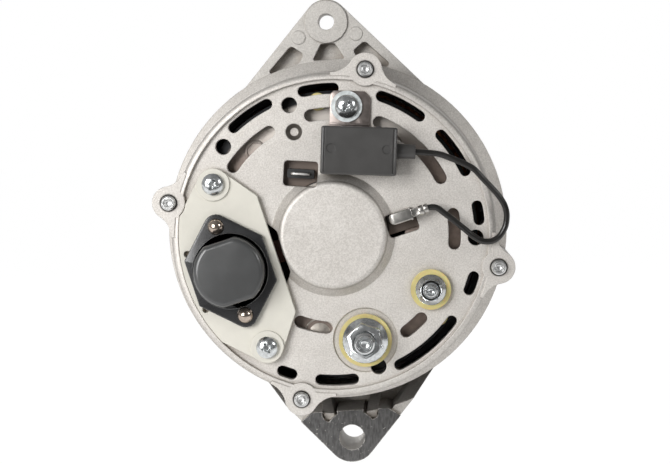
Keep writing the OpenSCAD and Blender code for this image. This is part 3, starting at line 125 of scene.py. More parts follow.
# %% Wires
class Wire:
    """A socket of a finish, ready for arithmetic."""

    def __init__(self, finish, socket):
        self.finish = finish
        self.socket = socket

    def __add__(self, other):
        return self.finish.calc("ADD", self, other)

    def __sub__(self, other):
        return self.finish.calc("SUBTRACT", self, other)

    def __rsub__(self, other):
        return self.finish.calc("SUBTRACT", other, self)

    def __mul__(self, other):
        return self.finish.calc("MULTIPLY", self, other)

    __radd__ = __add__
    __rmul__ = __mul__

    def abs(self):
        return self.finish.calc("ABSOLUTE", self)

    def sine(self):
        return self.finish.calc("SINE", self)

    def between(self, low, high):
        """0 below low and 1 above high, with a soft step between them."""
        sockets = {"Value": self, "From Min": low, "From Max": high}
        return self.finish.node("ShaderNodeMapRange", sockets, interpolation_type="SMOOTHSTEP")


print("wires can be added, subtracted and multiplied")

# %% [markdown]
# A Finish is a material with one Principled shader. Every node that isn't plain
# maths comes from Finish.node. Noise gives specks and stains at a size in
# millimetres, reach gives rings and round marks, and relief gives the bump on
# edges that a Bevel node has rounded.

# %% Finishes
class Finish:
    """A material with one Principled shader, built up from wires."""

    def __init__(self, name, colour, metallic=0.0, roughness=0.5, **fixed):
        self.material = bpy.data.materials.new(name)
        self.material.use_nodes = True
        self.tree = self.material.node_tree
        self.shader = self.tree.nodes["Principled BSDF"]
        self.place = self.node("ShaderNodeTexCoord", out="Object")
        self.set("Base Color", colour if isinstance(colour, Wire) else (*colour, 1))
        self.set("Metallic", metallic)
        self.set("Roughness", roughness)
        for name, value in fixed.items():
            self.set(name.replace("_", " ").title(), value)

    def node(self, kind, sockets=None, out=0, **settings):
        made = self.tree.nodes.new(kind)
        for name, value in settings.items():
            setattr(made, name, value)
        for key, value in (sockets or {}).items():
            self.feed(made.inputs[key], value)
        return Wire(self, made.outputs[out])

    def feed(self, socket, value):
        if isinstance(value, Wire):
            self.tree.links.new(value.socket, socket)
        else:
            socket.default_value = value

    def set(self, name, value):
        self.feed(self.shader.inputs[name], value)

    def current(self, name):
        """The wire that feeds a socket of the shader so far."""
        return Wire(self, self.shader.inputs[name].links[0].from_socket)

    def noise(self, size_mm, detail=2.0, roughness=0.5, stretch=(1, 1, 1)):
        """Noise between 0 and 1 whose blobs are about size_mm across."""
        scale = tuple(s / (size_mm * MM) for s in stretch)
        at = self.node("ShaderNodeMapping", {"Vector": self.place, "Scale": scale})
        sockets = {"Vector": at, "Scale": 1.0, "Detail": detail, "Roughness": roughness}
        return self.node("ShaderNodeTexNoise", sockets)

    def calc(self, operation, first, second=0.0):
        return self.node("ShaderNodeMath", {0: first, 1: second}, operation=operation)

    def mix(self, factor, first, second):
        first = first if isinstance(first, Wire) else (*first, 1)
        second = second if isinstance(second, Wire) else (*second, 1)
        sockets = {0: factor, 6: first, 7: second}
        return self.node("ShaderNodeMix", sockets, out=2, data_type="RGBA")

    def along(self, axis):
        """The distance along X, Y or Z in metres."""
        return self.node("ShaderNodeSeparateXYZ", {0: self.place}, out=axis)

    def reach(self, centre):
        """The distance in metres from a line through centre, along the shaft."""
        offset = self.node("ShaderNodeVectorMath", {0: self.place, 1: centre}, operation="SUBTRACT")
        flat = self.node("ShaderNodeVectorMath", {0: offset, 1: (1, 0, 1)}, operation="MULTIPLY")
        return self.node("ShaderNodeVectorMath", {0: flat}, out="Value", operation="LENGTH")

    def relief(self, height, depth_mm, strength=1.0, edge_mm=0.0):
        """Bump from a height, on edges that are rounded by edge_mm."""
        sockets = {"Height": height, "Distance": depth_mm * MM, "Strength": strength}
        if edge_mm:
            soft = self.node("ShaderNodeBevel", {"Radius": edge_mm * MM}, samples=4)
            sockets["Normal"] = soft
        self.set("Normal", self.node("ShaderNodeBump", sockets))


print("finishes are measured in units of", MM, "m")

# %% [markdown]
# ## Cast aluminium
# Both frames are die castings that were blasted with beads, so they are dull,
# pale and full of fine specks, with soft edges everywhere. Three sizes of
# noise do that: specks of about half a millimetre, blotches of a few
# millimetres and slow stains. Corners are painted browner and darker where an
# Ambient Occlusion node that looks only a few millimetres far finds them: partly
# dirt that blasting didn't reach, partly painted shade. The sides are painted
# darker too, partly a less blasted tone and partly painted shade, and the
# normal's share along the shaft tells them apart from the end faces.

# %% Cast aluminium
# The sides' tone is partly a less blasted, dirtier cast tone and partly painted shade.
FLANK_DIRT_AND_SHADE = (0.24, 0.215, 0.19)
# The corners' tone is partly dirt and partly painted shade.
CORNER_DIRT_AND_SHADE = (0.26, 0.22, 0.18)


def cast_aluminium(name, light, dark, side_dirt_and_shade, corner_mm):
    metal = Finish(name, light, metallic=0.62, roughness=0.55)
    specks = metal.noise(0.6, detail=4.0, roughness=0.8)
    blotches = metal.noise(4.0, detail=3.0)
    stains = metal.noise(24.0)
    dirt = specks.between(0.38, 0.62) * 0.7 + blotches.between(0.35, 0.75) * 0.15
    dirt = dirt + stains.between(0.4, 0.7) * 0.15
    clean = metal.mix(dirt, dark, light)
    normal = metal.node("ShaderNodeNewGeometry", out="Normal")
    facing = metal.node("ShaderNodeSeparateXYZ", {0: normal}, out="Y").abs()
    side = 1 - facing.between(0.35, 0.95)
    coarse = metal.noise(1.1, detail=4.0, roughness=0.75)
    grit = 0.45 + 0.55 * coarse.between(0.4, 0.6) + 0.35 * stains.between(0.35, 0.7)
    # Sides are painted darker: partly a rougher cast tone, partly painted shade.
    clean = metal.mix(side * side_dirt_and_shade * grit, clean, FLANK_DIRT_AND_SHADE)
    # Corners and pockets that the AO node finds are painted darker: partly dirt, partly painted
    # shade.
    open_sky = metal.node("ShaderNodeAmbientOcclusion", {"Distance": corner_mm * MM}, out="AO",
                          samples=4)
    corners = 1 - open_sky.between(0.3, 0.75)
    metal.set("Base Color", metal.mix(corners * 0.75, clean, CORNER_DIRT_AND_SHADE))
    metal.set("Roughness", 0.62 - 0.16 * blotches)
    metal.relief(specks + 0.5 * blotches + side * coarse, 0.06, strength=0.5, edge_mm=0.6)
    return metal


rear_cast = cast_aluminium("cast_rear", (0.75, 0.72, 0.68), (0.52, 0.49, 0.455), 0.42, 3)
print(rear_cast.material.name, len(rear_cast.tree.nodes), "nodes")

# %% [markdown]
# The through bolts stand in drilled holes, and a dark ring round each is
# painted shade of the gap between bolt and hole. The four holes lie a quarter
# turn apart, so the larger and the smaller of the two distances along the axes
# fold all four onto one.

# %% Dark rims round the bolts
BOLT_CIRCLE_R = 65.8
BOLT_ANGLE = 79.1
RIM_FROM = 3.2
RIM_TO = 3.9
RIM_SHADE = (0.05, 0.045, 0.04)


def shaded_bolt_holes(metal):
    turned = metal.node("ShaderNodeMapping", {"Vector": metal.place, "Location": -SHAFT})
    angle = math.radians(BOLT_ANGLE)
    turned = metal.node("ShaderNodeVectorRotate",
                        {"Vector": turned, "Axis": (0, 1, 0), "Angle": angle})
    x = metal.node("ShaderNodeSeparateXYZ", {0: turned}, out="X").abs()
    z = metal.node("ShaderNodeSeparateXYZ", {0: turned}, out="Z").abs()
    along_arm = metal.calc("MAXIMUM", x, z) - BOLT_CIRCLE_R * MM
    across_arm = metal.calc("MINIMUM", x, z)
    reach = metal.calc("SQRT", along_arm * along_arm + across_arm * across_arm)
    # Painted shade: a dark ring round each bolt for the gap between bolt and hole.
    rim = 1 - reach.between(RIM_FROM * MM, RIM_TO * MM)
    metal.set("Base Color", metal.mix(rim, metal.current("Base Color"), RIM_SHADE))


shaded_bolt_holes(rear_cast)
print("dark rims on a circle of", BOLT_CIRCLE_R, "mm")

# %% [markdown]
# One round recess beside the capacitor never had a screw. Its cone is painted
# dark as painted shade, and its floor is bright.

# %% Painted shade in the empty recess
RECESS_AT = (-15.45, 40.24)
CONE_INNER = (1.5, 1.75)
CONE_OUTER = (3.0, 3.5)
RECESS_SHADE = (0.07, 0.06, 0.05)


def shaded_recess(metal):
    reach = metal.reach(bench(*RECESS_AT, 0))
    inner = reach.between(CONE_INNER[0] * MM, CONE_INNER[1] * MM)
    outer = reach.between(CONE_OUTER[0] * MM, CONE_OUTER[1] * MM)
    # Painted shade: the recess's cone is painted dark.
    cone = inner * (1 - outer)
    metal.set("Base Color", metal.mix(cone * 0.9, metal.current("Base Color"), RECESS_SHADE))


shaded_recess(rear_cast)
print("dust in the recess at", RECESS_AT)

# %% [markdown]
# The foot's near face was milled flat. It is bright metal, but its dark
# streaked colour is a painted reflection of the dark room behind the camera.
# Only faces that look straight back at that depth get it. A Bevel node turns
# the normal near an edge, so where it differs from the true normal the metal is
# knocked bright.

# %% Drive frame with its milled foot
FOOT_Z = -49
MILLED_REFLECTION_DARK = (0.07, 0.068, 0.067)
MILLED_REFLECTION_LIGHT = (0.135, 0.132, 0.13)
KNOCKED = (0.62, 0.60, 0.56)


def drive_aluminium():
    metal = cast_aluminium("cast_drive", (0.66, 0.635, 0.60), (0.46, 0.44, 0.41), 0.25, 5)
    cast_colour = metal.current("Base Color")
    cast_rough = metal.current("Roughness")
    foot_y = bench(0, 0, FOOT_Z).y
    normal = metal.node("ShaderNodeNewGeometry", out="Normal")
    facing = metal.node("ShaderNodeSeparateXYZ", {0: normal}, out="Y")
    depth = (metal.along("Y") - foot_y).abs()
    milled = (1 - depth.between(0.2 * MM, 0.6 * MM)) * (1 - facing.between(-0.95, -0.8))
    streaks = metal.noise(0.8, detail=4.0, roughness=0.6, stretch=(1, 1, 0.25))
    nicks = metal.noise(1.1, detail=4.0, roughness=0.75)
    rounded = metal.node("ShaderNodeBevel", {"Radius": 0.7 * MM}, samples=6)
    same = metal.node("ShaderNodeVectorMath", {0: rounded, 1: normal}, out="Value",
                      operation="DOT_PRODUCT")
    worn = (1 - same.between(0.9, 0.99)) * nicks.between(0.4, 0.55)
    bright = metal.calc("MAXIMUM", worn, nicks.between(0.64, 0.7))
    # Painted reflection: the milled face's dark tone stands for the dark room it mirrors; the
    # streaks are milling marks.
    tone = metal.mix(streaks.between(0.3, 0.7), MILLED_REFLECTION_DARK, MILLED_REFLECTION_LIGHT)
    tone = metal.mix(bright, tone, KNOCKED)
    metal.set("Base Color", metal.mix(milled, cast_colour, tone))
    metal.set("Roughness", cast_rough - 0.22 * milled)
    return metal


drive_cast = drive_aluminium()
print("milled foot at", FOOT_Z, "mm")

# %% [markdown]
# ## Plated and turned steel
# Nuts, washers and screws are zinc plated: bright, slightly blue, a little
# uneven. Shafts and races are ground, and the pulley is turned on a lathe,
# which leaves fine rings round its axis.

# %% Metals
def plated(name, colour, roughness=0.24, metallic=1.0, patch_mm=1.8, fade=0.78):
    metal = Finish(name, colour, metallic=metallic, roughness=roughness)
    clouds = metal.noise(patch_mm, detail=3.0)
    grit = metal.noise(0.25, detail=2.0)
    dull = tuple(fade * c for c in colour)
    metal.set("Base Color", metal.mix(clouds.between(0.35, 0.7), dull, colour))
    metal.set("Roughness", roughness + 0.14 * clouds)
    metal.relief(grit, 0.01, strength=0.35, edge_mm=0.15)
    return metal


def turned_steel(name, colour, ring_mm=0.35, roughness=0.3):
    metal = Finish(name, colour, metallic=1.0, roughness=roughness)
    reach = metal.reach(SHAFT)
    rings = ((reach + metal.along("Y")) * (2 * math.pi / (ring_mm * MM))).sine()
    wear = metal.noise(9.0, detail=3.0)
    dull = tuple(0.78 * c for c in colour)
    shade = wear.between(0.3, 0.7) * 0.55 + rings.between(-1, 1) * 0.45
    metal.set("Base Color", metal.mix(shade, dull, colour))
    metal.set("Roughness", roughness + 0.12 * wear + 0.04 * rings)
    metal.relief(rings, 0.02, strength=0.5, edge_mm=0.2)
    return metal


zinc = plated("bright_zinc", (0.74, 0.76, 0.765), roughness=0.17)
nickel = plated("nickel_rivet", (0.56, 0.47, 0.40), roughness=0.1)
tin = plated("tinned_brass", (0.56, 0.54, 0.51), roughness=0.24)
strap_steel = plated("tarnished_steel", (0.30, 0.26, 0.24), roughness=0.3, metallic=0.9)
diode_can = plated("diode_can", (0.62, 0.57, 0.51), roughness=0.26)
# Painted highlight: the blades get a lighter copy of the tinned brass, so that they look lit.
highlit_blade_tin = plated("tinned_blade_painted_highlight", (0.80, 0.78, 0.75), roughness=0.34)
fan_zinc = plated("zinc_sheet", (0.46, 0.47, 0.47), roughness=0.34, patch_mm=12, fade=0.86)
bolt_zinc = plated("bolt_zinc", (0.80, 0.80, 0.79), roughness=0.27)
washer_zinc = plated("zinc_washer", (0.80, 0.84, 0.84), roughness=0.36)
spring_wire = plated("spring_wire", (0.55, 0.55, 0.55), roughness=0.25)
ground_steel = turned_steel("ground_steel", (0.60, 0.60, 0.61), 0.2, 0.2)
pulley_steel = turned_steel("turned_pulley", (0.33, 0.33, 0.34), 1.2, 0.32)
ring_copper = turned_steel("turned_copper", (0.72, 0.35, 0.20), 0.3, 0.25)
print("metals, cast ones too", len(bpy.data.materials))

# %% [markdown]
# The diode plate is varnished sheet that lies in shade behind the vents, and
# its dark brown is partly painted shade. It is browner and darker below and
# lighter near the top, and black at its outer edge, which is painted shade for
# the outer vents. The height and the distance from the shaft make the two masks.

# %% Varnished diode plate
LIGHTER_ABOVE = (27, 42)
OUTER_SHADE_R = (51.5, 53.5)


def varnished_sheet():
    # The dark brown base is partly painted shade, for a plate seen in shade through the vents.
    sheet = plated("varnished_sheet", (0.36, 0.30, 0.26), roughness=0.42, metallic=0.7)
    brown = sheet.mix(0.35, sheet.current("Base Color"), (0.15, 0.10, 0.085))
    # Lighter towards the top, browner and darker below.
    low, high = (SHAFT.z + height * MM for height in LIGHTER_ABOVE)
    tone = sheet.mix(sheet.along("Z").between(low, high), brown, (0.55, 0.51, 0.47))
    # Painted shade: the outer edge is painted black so that the outer vents look dark.
    outer_shade = sheet.reach(SHAFT).between(OUTER_SHADE_R[0] * MM, OUTER_SHADE_R[1] * MM)
    sheet.set("Base Color", sheet.mix(outer_shade, tone, (0.012, 0.012, 0.013)))
    return sheet


diode_sheet = varnished_sheet()
print("varnish is clean above", LIGHTER_ABOVE, "mm")

# %% [markdown]
# ## Stator iron, poles and copper
# The stator core is a stack of half-millimetre sheets, whose edges show as
# fine lines round the body, with a little rust. The claw poles are forged and
# keep a dark scale. The windings are copper under a brown enamel.

# %% Iron and copper
def laminated_iron():
    iron = Finish("laminated_iron", (0.2, 0.2, 0.2), metallic=0.8, roughness=0.5)
    sheets = (iron.along("Y") * (2 * math.pi / (0.6 * MM))).sine()
    rust = iron.noise(5.0, detail=4.0)
    tone = iron.mix(sheets.between(-0.6, 0.6), (0.10, 0.10, 0.105), (0.26, 0.26, 0.27))
    iron.set("Base Color", iron.mix(rust.between(0.35, 0.75) * 0.45, tone, (0.17, 0.12, 0.09)))
    iron.set("Roughness", 0.42 + 0.2 * rust)
    iron.relief(sheets, 0.05, strength=0.6)
    return iron


def forged_steel():
    steel = Finish("forged_pole", (0.2, 0.2, 0.2), metallic=0.75, roughness=0.5)
    scale = steel.noise(2.0, detail=4.0, roughness=0.6)
    mottled = steel.mix(scale.between(0.35, 0.7), (0.09, 0.09, 0.1), (0.24, 0.24, 0.25))
    steel.set("Base Color", mottled)
    steel.set("Roughness", 0.4 + 0.25 * scale)
    steel.relief(scale, 0.06, strength=0.4, edge_mm=0.5)
    return steel


def enamelled_copper():
    copper = Finish("enamelled_copper", (0.4, 0.15, 0.06), metallic=0.55, roughness=0.3,
                    coat_weight=0.6, coat_roughness=0.15)
    shade = copper.noise(2.5, detail=3.0)
    tone = copper.mix(shade.between(0.3, 0.7), (0.22, 0.075, 0.03), (0.52, 0.22, 0.09))
    copper.set("Base Color", tone)
    copper.set("Roughness", 0.22 + 0.2 * shade)
    copper.relief(shade, 0.03, strength=0.3)
    return copper


lamination = laminated_iron()
pole_steel = forged_steel()
copper = enamelled_copper()
print("iron and copper", len(lamination.tree.nodes), "and", len(copper.tree.nodes), "nodes")

# %% [markdown]
# ## Plastics, paint and rubber
# A moulded plastic has a faint grain and slow changes of gloss. Paint is the
# same with a clear coat, and carbon and rubber are the same without any gloss.
# The blade insulators are black blocks on a base of brown fibre, which starts
# at the inside of the end wall, so the colour changes at that depth.

# %% Plastics and paint
def moulded(name, colour, roughness=0.45, grain_mm=0.3, depth_mm=0.02, tone=0.85,
            edge_mm=0.3, **fixed):
    plastic = Finish(name, colour, roughness=roughness, **fixed)
    grain = plastic.noise(grain_mm, detail=3.0)
    drift = plastic.noise(7.0, detail=3.0)
    deep = tuple(tone * c for c in colour)
    shade = drift.between(0.3, 0.7) * 0.7 + grain * 0.3
    plastic.set("Base Color", plastic.mix(shade, deep, colour))
    plastic.set("Roughness", roughness - 0.08 + 0.16 * drift)
    plastic.relief(grain, depth_mm, strength=0.35, edge_mm=edge_mm)
    return plastic


cream = moulded("cream_thermoset", (0.70, 0.675, 0.60), roughness=0.56, tone=0.93, edge_mm=0.5)
can_paint = moulded("gloss_black_paint", (0.02, 0.02, 0.021), roughness=0.24, grain_mm=0.6,
                    edge_mm=0.4, coat_weight=0.5, coat_roughness=0.1)
can_grey = moulded("grey_can_paint", (0.055, 0.056, 0.056), roughness=0.36, grain_mm=0.5,
                   coat_weight=0.6, coat_roughness=0.2)
case_black = moulded("capacitor_case", (0.058, 0.056, 0.054), roughness=0.34, grain_mm=0.8,
                     depth_mm=0.05, edge_mm=0.5)
insulator_black = moulded("black_insulator", (0.02, 0.02, 0.02), roughness=0.5)
holder_brown = moulded("brown_phenolic", (0.17, 0.06, 0.035), roughness=0.4)
FIBRE_Z = -5.72
fibre_y = bench(0, 0, FIBRE_Z).y
fibre = insulator_black.along("Y").between(fibre_y - 0.1 * MM, fibre_y + 0.1 * MM)
two_tone = insulator_black.mix(fibre, insulator_black.current("Base Color"), (0.20, 0.15, 0.12))
insulator_black.set("Base Color", two_tone)
amber = moulded("amber_insulator", (0.72, 0.62, 0.27), roughness=0.3, grain_mm=1.2, tone=0.72,
                coat_weight=0.4, coat_roughness=0.2, subsurface_weight=0.25, subsurface_scale=0.002)
bobbin_white = moulded("bobbin_polyamide", (0.70, 0.66, 0.55))
cage_tan = moulded("cage_polyamide", (0.50, 0.38, 0.20))
rubber = moulded("seal_rubber", (0.03, 0.025, 0.022), roughness=0.75)
carbon = moulded("brush_carbon", (0.035, 0.035, 0.038), roughness=0.6, grain_mm=0.15)
sheath = moulded("lead_sheath", (0.009, 0.008, 0.007), roughness=0.3, grain_mm=1.5,
                 edge_mm=0.0, coat_weight=0.15, coat_roughness=0.1)
print("materials so far", len(bpy.data.materials))

# %% [markdown]
# ## Finishes on the CAD nodes
# A CAD node keeps its mesh and only gets a material. One table says which.

# %% Dress the CAD nodes
FINISH_OF = {
    "rear_frame": rear_cast, "drive_frame": drive_cast, "stator_core": lamination,
    "stator_winding": copper, "through_bolts": bolt_zinc, "regulator_plate": cream,
    "regulator_base": can_paint, "regulator_can": can_grey, "regulator_rivets": nickel,
    "plate_screws": zinc, "brush_holder": holder_brown, "rear_brush": carbon,
    "front_brush": carbon, "rear_brush_spring": spring_wire, "front_brush_spring": spring_wire,
    "capacitor_body": case_black, "capacitor_strap": strap_steel, "capacitor_screw": zinc,
    "capacitor_washer": washer_zinc, "capacitor_lead": sheath, "lead_terminal": tin,
    "battery_stud": zinc, "battery_insulator": amber, "battery_nut": zinc, "lamp_stud": zinc,
    "lamp_insulator": amber, "lamp_nut": zinc, "blade_terminals": tin,
    "blade_insulators": insulator_black, "positive_plate": diode_sheet,
    "negative_plate": diode_sheet, "positive_diodes": diode_can, "negative_diodes": diode_can,
    "exciter_module": insulator_black, "rectifier_spacers": amber, "rectifier_screws": zinc,
    "rear_bearing_outer": ground_steel, "front_bearing_outer": ground_steel,
    "bearing_seals": rubber, "retainer_plate": zinc, "retainer_screws": zinc,
    "rotor_shaft": ground_steel, "shaft_key": ground_steel, "rear_claw_pole": pole_steel,
    "front_claw_pole": pole_steel, "field_coil": copper, "coil_bobbin": bobbin_white,
    "slip_ring_sleeve": holder_brown, "slip_rings": ring_copper,
    "rear_bearing_inner": ground_steel, "front_bearing_inner": ground_steel,
    "front_spacer": ground_steel, "cooling_fan": fan_zinc, "drive_pulley": pulley_steel,
    "pulley_washer": zinc, "pulley_nut": zinc, "rear_bearing_balls": ground_steel,
    "rear_bearing_cage": cage_tan, "front_bearing_balls": ground_steel,
    "front_bearing_cage": cage_tan,
}

for node_name, finish in FINISH_OF.items():
    node = bpy.data.objects[node_name]
    node.data.materials.clear()
    node.data.materials.append(finish.material)
print("dressed", len(FINISH_OF), "nodes")

# %% [markdown]
# ## Studio
# The product stands on white paper. To the camera and in mirror images the
# paper glows white, and a share of its plain shading is mixed in, so that it
# keeps a faint contact shadow.

# %% Paper
FLOOR_GAP = 0.4
FLOOR_SIZE = 6
FLOOR_AWAY = 2.75
GLOW_ALWAYS = 0.3
GLOW_SEEN = 0.62
GLOW_STRENGTH = 1.065
floor_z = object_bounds()[0][2] - FLOOR_GAP * MM

bpy.ops.object.select_all(action="DESELECT")
bpy.ops.mesh.primitive_plane_add(size=FLOOR_SIZE, location=(0, FLOOR_AWAY, floor_z))
floor = bpy.context.object
floor.name = "paper_floor"
bpy.ops.object.transform_apply(location=True, rotation=True, scale=True)
paper = Finish("white_paper", (0.9, 0.9, 0.9), roughness=0.8)
fibres = paper.noise(6.0)
paper.set("Base Color", paper.mix(fibres, (0.88, 0.88, 0.88), (0.92, 0.92, 0.92)))
to_camera = paper.node("ShaderNodeLightPath", out="Is Camera Ray")
mirrored = paper.node("ShaderNodeLightPath", out="Is Glossy Ray")
to_camera = paper.calc("MAXIMUM", to_camera, mirrored)
white = (1, 1, 1, 1)
glow = paper.node("ShaderNodeEmission", {"Color": white, "Strength": GLOW_STRENGTH})
shaded = Wire(paper, paper.shader.outputs[0])
share = to_camera * GLOW_SEEN + GLOW_ALWAYS
blended = paper.node("ShaderNodeMixShader", {0: share, 1: shaded, 2: glow})
paper.feed(paper.tree.nodes["Material Output"].inputs["Surface"], blended)
floor.data.materials.append(paper.material)
print("floor at", round(floor_z, 4))

# %% [markdown]
# Four square lamps give soft light: a large one to the left, a small one to the
# upper right, one behind for the fan's side, and a low one in front that stands
# for light thrown back by the table. That last one shows in no mirror image.

# %% Lamps
LAMP_TARGET = (0, 0, -40)


def softbox(name, at, size, power):
    """A square lamp on the bench, aimed at the rear face."""
    data = bpy.data.lights.new(name, "AREA")
    data.size = size
    data.energy = power
    lamp = bpy.data.objects.new(name, data)
    bpy.context.scene.collection.objects.link(lamp)
    lamp.location = bench(*at)
    aim = bench(*LAMP_TARGET) - lamp.location
    lamp.rotation_euler = aim.to_track_quat("-Z", "Y").to_euler()
    return lamp


softbox("key_lamp", (-520, 170, 740), 0.5, 7.5)
softbox("side_lamp", (640, 330, 460), 0.2, 1.3)
softbox("back_lamp", (-420, 380, -800), 0.5, 2.6)
table_bounce = softbox("table_bounce", (320, -460, 520), 0.4, 2.0)
table_bounce.visible_glossy = False
print("lamps", len(bpy.data.lights))

# %% [markdown]
# The room is brighter on the left and dark below, which is what metal needs to
# look like metal. Behind the camera it is an even grey. The wall behind the
# object is pure white to the camera, and also in mirror images and through
# clear things.

# %% Room
LEFT_LEVEL = 0.38
RIGHT_LEVEL = 0.12
CAMERA_SIDE_LEVEL = 0.19

world = bpy.data.worlds.new("white_room")
bpy.context.scene.world = world
world.use_nodes = True
room = world.node_tree


def room_node(kind, links, out=0, **settings):
    """A node of the room's light, fed by sockets or by numbers."""
    made = room.nodes.new(kind)
    for name, value in settings.items():
        setattr(made, name, value)
    for key, value in links.items():
        if isinstance(value, bpy.types.NodeSocket):
            room.links.new(value, made.inputs[key])
        else:
            made.inputs[key].default_value = value
    return made.outputs[out]


def room_range(value, from_min, from_max, to_min=0.0, to_max=1.0, kind="LINEAR"):
    sockets = {"Value": value, "From Min": from_min, "From Max": from_max,
               "To Min": to_min, "To Max": to_max}
    return room_node("ShaderNodeMapRange", sockets, interpolation_type=kind)


direction = room_node("ShaderNodeTexCoord", {})
across, toward, upward = (
    room_node("ShaderNodeSeparateXYZ", {0: direction}, out=axis) for axis in range(3)
)
side_level = room_range(across, -0.9, 0.9, LEFT_LEVEL, RIGHT_LEVEL)
lower_dark = room_range(upward, -0.5, 0.1, 0.2, 1.0)
side_level = room_node("ShaderNodeMath", {0: side_level, 1: lower_dark}, operation="MULTIPLY")
behind_camera = room_range(toward, -0.35, -0.95, kind="SMOOTHSTEP")
wall_level = room_node("ShaderNodeMix", {0: behind_camera, 2: side_level, 3: CAMERA_SIDE_LEVEL})
behind_object = room_range(toward, 0.5, 0.95, kind="SMOOTHSTEP")
glossy_ray = room_node("ShaderNodeLightPath", {}, out="Is Glossy Ray")
clear_ray = room_node("ShaderNodeLightPath", {}, out="Is Transmission Ray")
mirrored = room_node("ShaderNodeMath", {0: glossy_ray, 1: clear_ray}, operation="MAXIMUM")
mirrored = room_node("ShaderNodeMath", {0: mirrored, 1: behind_object}, operation="MULTIPLY")
seen = room_node("ShaderNodeLightPath", {}, out="Is Camera Ray")
seen = room_node("ShaderNodeMath", {0: seen, 1: mirrored}, operation="MAXIMUM")
level = room_node("ShaderNodeMix", {0: seen, 2: wall_level, 3: 1.0})
room.links.new(level, room.nodes["Background"].inputs["Strength"])
room.nodes["Background"].inputs["Color"].default_value = white
print("room nodes", len(room.nodes))

# %% [markdown]
# ## Tools of the small-parts bench
# Small pieces start from a primitive at its real size and place. A new
# primitive is selected all over, so everything else is deselected first.

# %% Starting shapes
def named(name):
    """Take the primitive that was just added as a piece."""
    piece = bpy.context.object
    piece.name = name
    piece.data.name = name
    bpy.ops.object.transform_apply(location=True, rotation=True, scale=True)
    return piece


def rod(name, r, low, high, at=(0, 0), sides=48, tip_r=None):
    """A straight or tapered rod that stands on the bench."""
    bpy.ops.object.select_all(action="DESELECT")
    tip_r = r if tip_r is None else tip_r
    place = (at[0] * MM, at[1] * MM, (low + high) / 2 * MM)
    bpy.ops.mesh.primitive_cone_add(vertices=sides, radius1=r * MM, radius2=tip_r * MM,
                                    depth=(high - low) * MM, location=place)
    return named(name)


def block(name, size, centre):
    bpy.ops.object.select_all(action="DESELECT")
    place = [c * MM for c in centre]
    bpy.ops.mesh.primitive_cube_add(size=1, location=place, scale=[s * MM for s in size])
    return named(name)


print("starting shapes: rod and block")

# %% [markdown]
# In edit mode an operator works on what is selected. Faces and corner points
# are picked in object mode, by their place or normal, and then edited.

# %% Picking faces and points
def only(piece):
    """Make one piece active and selected."""
    bpy.ops.object.select_all(action="DESELECT")
    piece.select_set(True)
    bpy.context.view_layer.objects.active = piece


def pick_nothing(piece, kind):
    """Leave a piece in object mode with nothing in its mesh selected."""
    only(piece)
    bpy.ops.object.mode_set(mode="EDIT")
    bpy.ops.mesh.select_mode(type=kind)
    bpy.ops.mesh.select_all(action="DESELECT")
    bpy.ops.object.mode_set(mode="OBJECT")


def pick_faces(piece, wanted):
    """Enter edit mode with just the wanted faces selected."""
    pick_nothing(piece, "FACE")
    for face in piece.data.polygons:
        face.select = wanted(face)
    bpy.ops.object.mode_set(mode="EDIT")


def pick_points(piece, wanted):
    """Enter edit mode with just the wanted corner points selected."""
    pick_nothing(piece, "VERT")
    for point in piece.data.vertices:
        point.select = wanted(point.co)
    bpy.ops.object.mode_set(mode="EDIT")


def is_top(face):
    return face.normal.z > 0.99


print("picking: faces and points")

# %% [markdown]
# A piece is cut by others and finished with a narrow bevel, because a bright
# edge is what makes a small metal part look real. What repeats is copied, and
# each copy gets a mesh of its own.

# %% Cutting and finishing
def apply_modifier(piece, kind, **settings):
    only(piece)
    modifier = piece.modifiers.new(kind.lower(), kind)
    for name, value in settings.items():
        setattr(modifier, name, value)
    bpy.ops.object.modifier_apply(modifier=modifier.name)


def cut(piece, cutter, operation="DIFFERENCE"):
    """Cut one piece with another, which is used up."""
    apply_modifier(piece, "BOOLEAN", operation=operation, object=cutter, solver="EXACT")
    bpy.data.objects.remove(cutter)


def soften(piece, width, segments=2, angle=32):
    """Round the sharp edges and shade the rest smooth."""
    apply_modifier(piece, "BEVEL", width=width * MM, segments=segments,
                   limit_method="ANGLE", angle_limit=math.radians(angle))
    only(piece)
    bpy.ops.object.shade_smooth_by_angle(angle=math.radians(angle))


def join(first, *others):
    only(first)
    for other in others:
        other.select_set(True)
    bpy.ops.object.join()
    return first


def copy_of(piece, name):
    """A copy with a mesh of its own."""
    twin = piece.copy()
    twin.data = piece.data.copy()
    twin.name = name
    bpy.context.scene.collection.objects.link(twin)
    return twin


print("finishing: cut, soften, join and copy")

# %% [markdown]
# A finished piece is moved to its place on the bench, stood up with the bench
# matrix, given its finish and handed to the housing. It stands for the CAD
# nodes that it replaces.

# %% Handing a piece over
def seat(piece, finish, nodes, at=(0, 0), turn=0.0):
    """Stand a finished piece up in the model and hand it over."""
    piece.data.transform(Matrix.Translation((at[0] * MM, at[1] * MM, 0))
                         @ Matrix.Rotation(math.radians(turn), 4, "Z"))
    piece.data.transform(BENCH)
    piece.data.materials.clear()
    piece.data.materials.append(finish.material)
    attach(piece, "housing")
    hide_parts(*nodes)
    return piece


print("pieces ride on the housing")

# %% [markdown]
# ## Pan-head screws
# Two M5 screws hold the regulator plate and one holds the capacitor's strap.
# The head is a low dome raised by a few inset rings. Two tapered bars, crossed,
# cut the recess, and a small cone opens its middle.

# %% Pan-head screws
REG_TURN = 18.4
PLATE_SCREW_R = 38.3
PLATE_SCREW_HALF = 33.6
CAPACITOR_SCREW_AT = (5.2, 50.2)
PLATE_SEAT = 2.05
STRAP_SEAT = 0.35
WALL_INSIDE = -5.75
DOME_RISE = (0.26, 0.17, 0.1, 0.05)


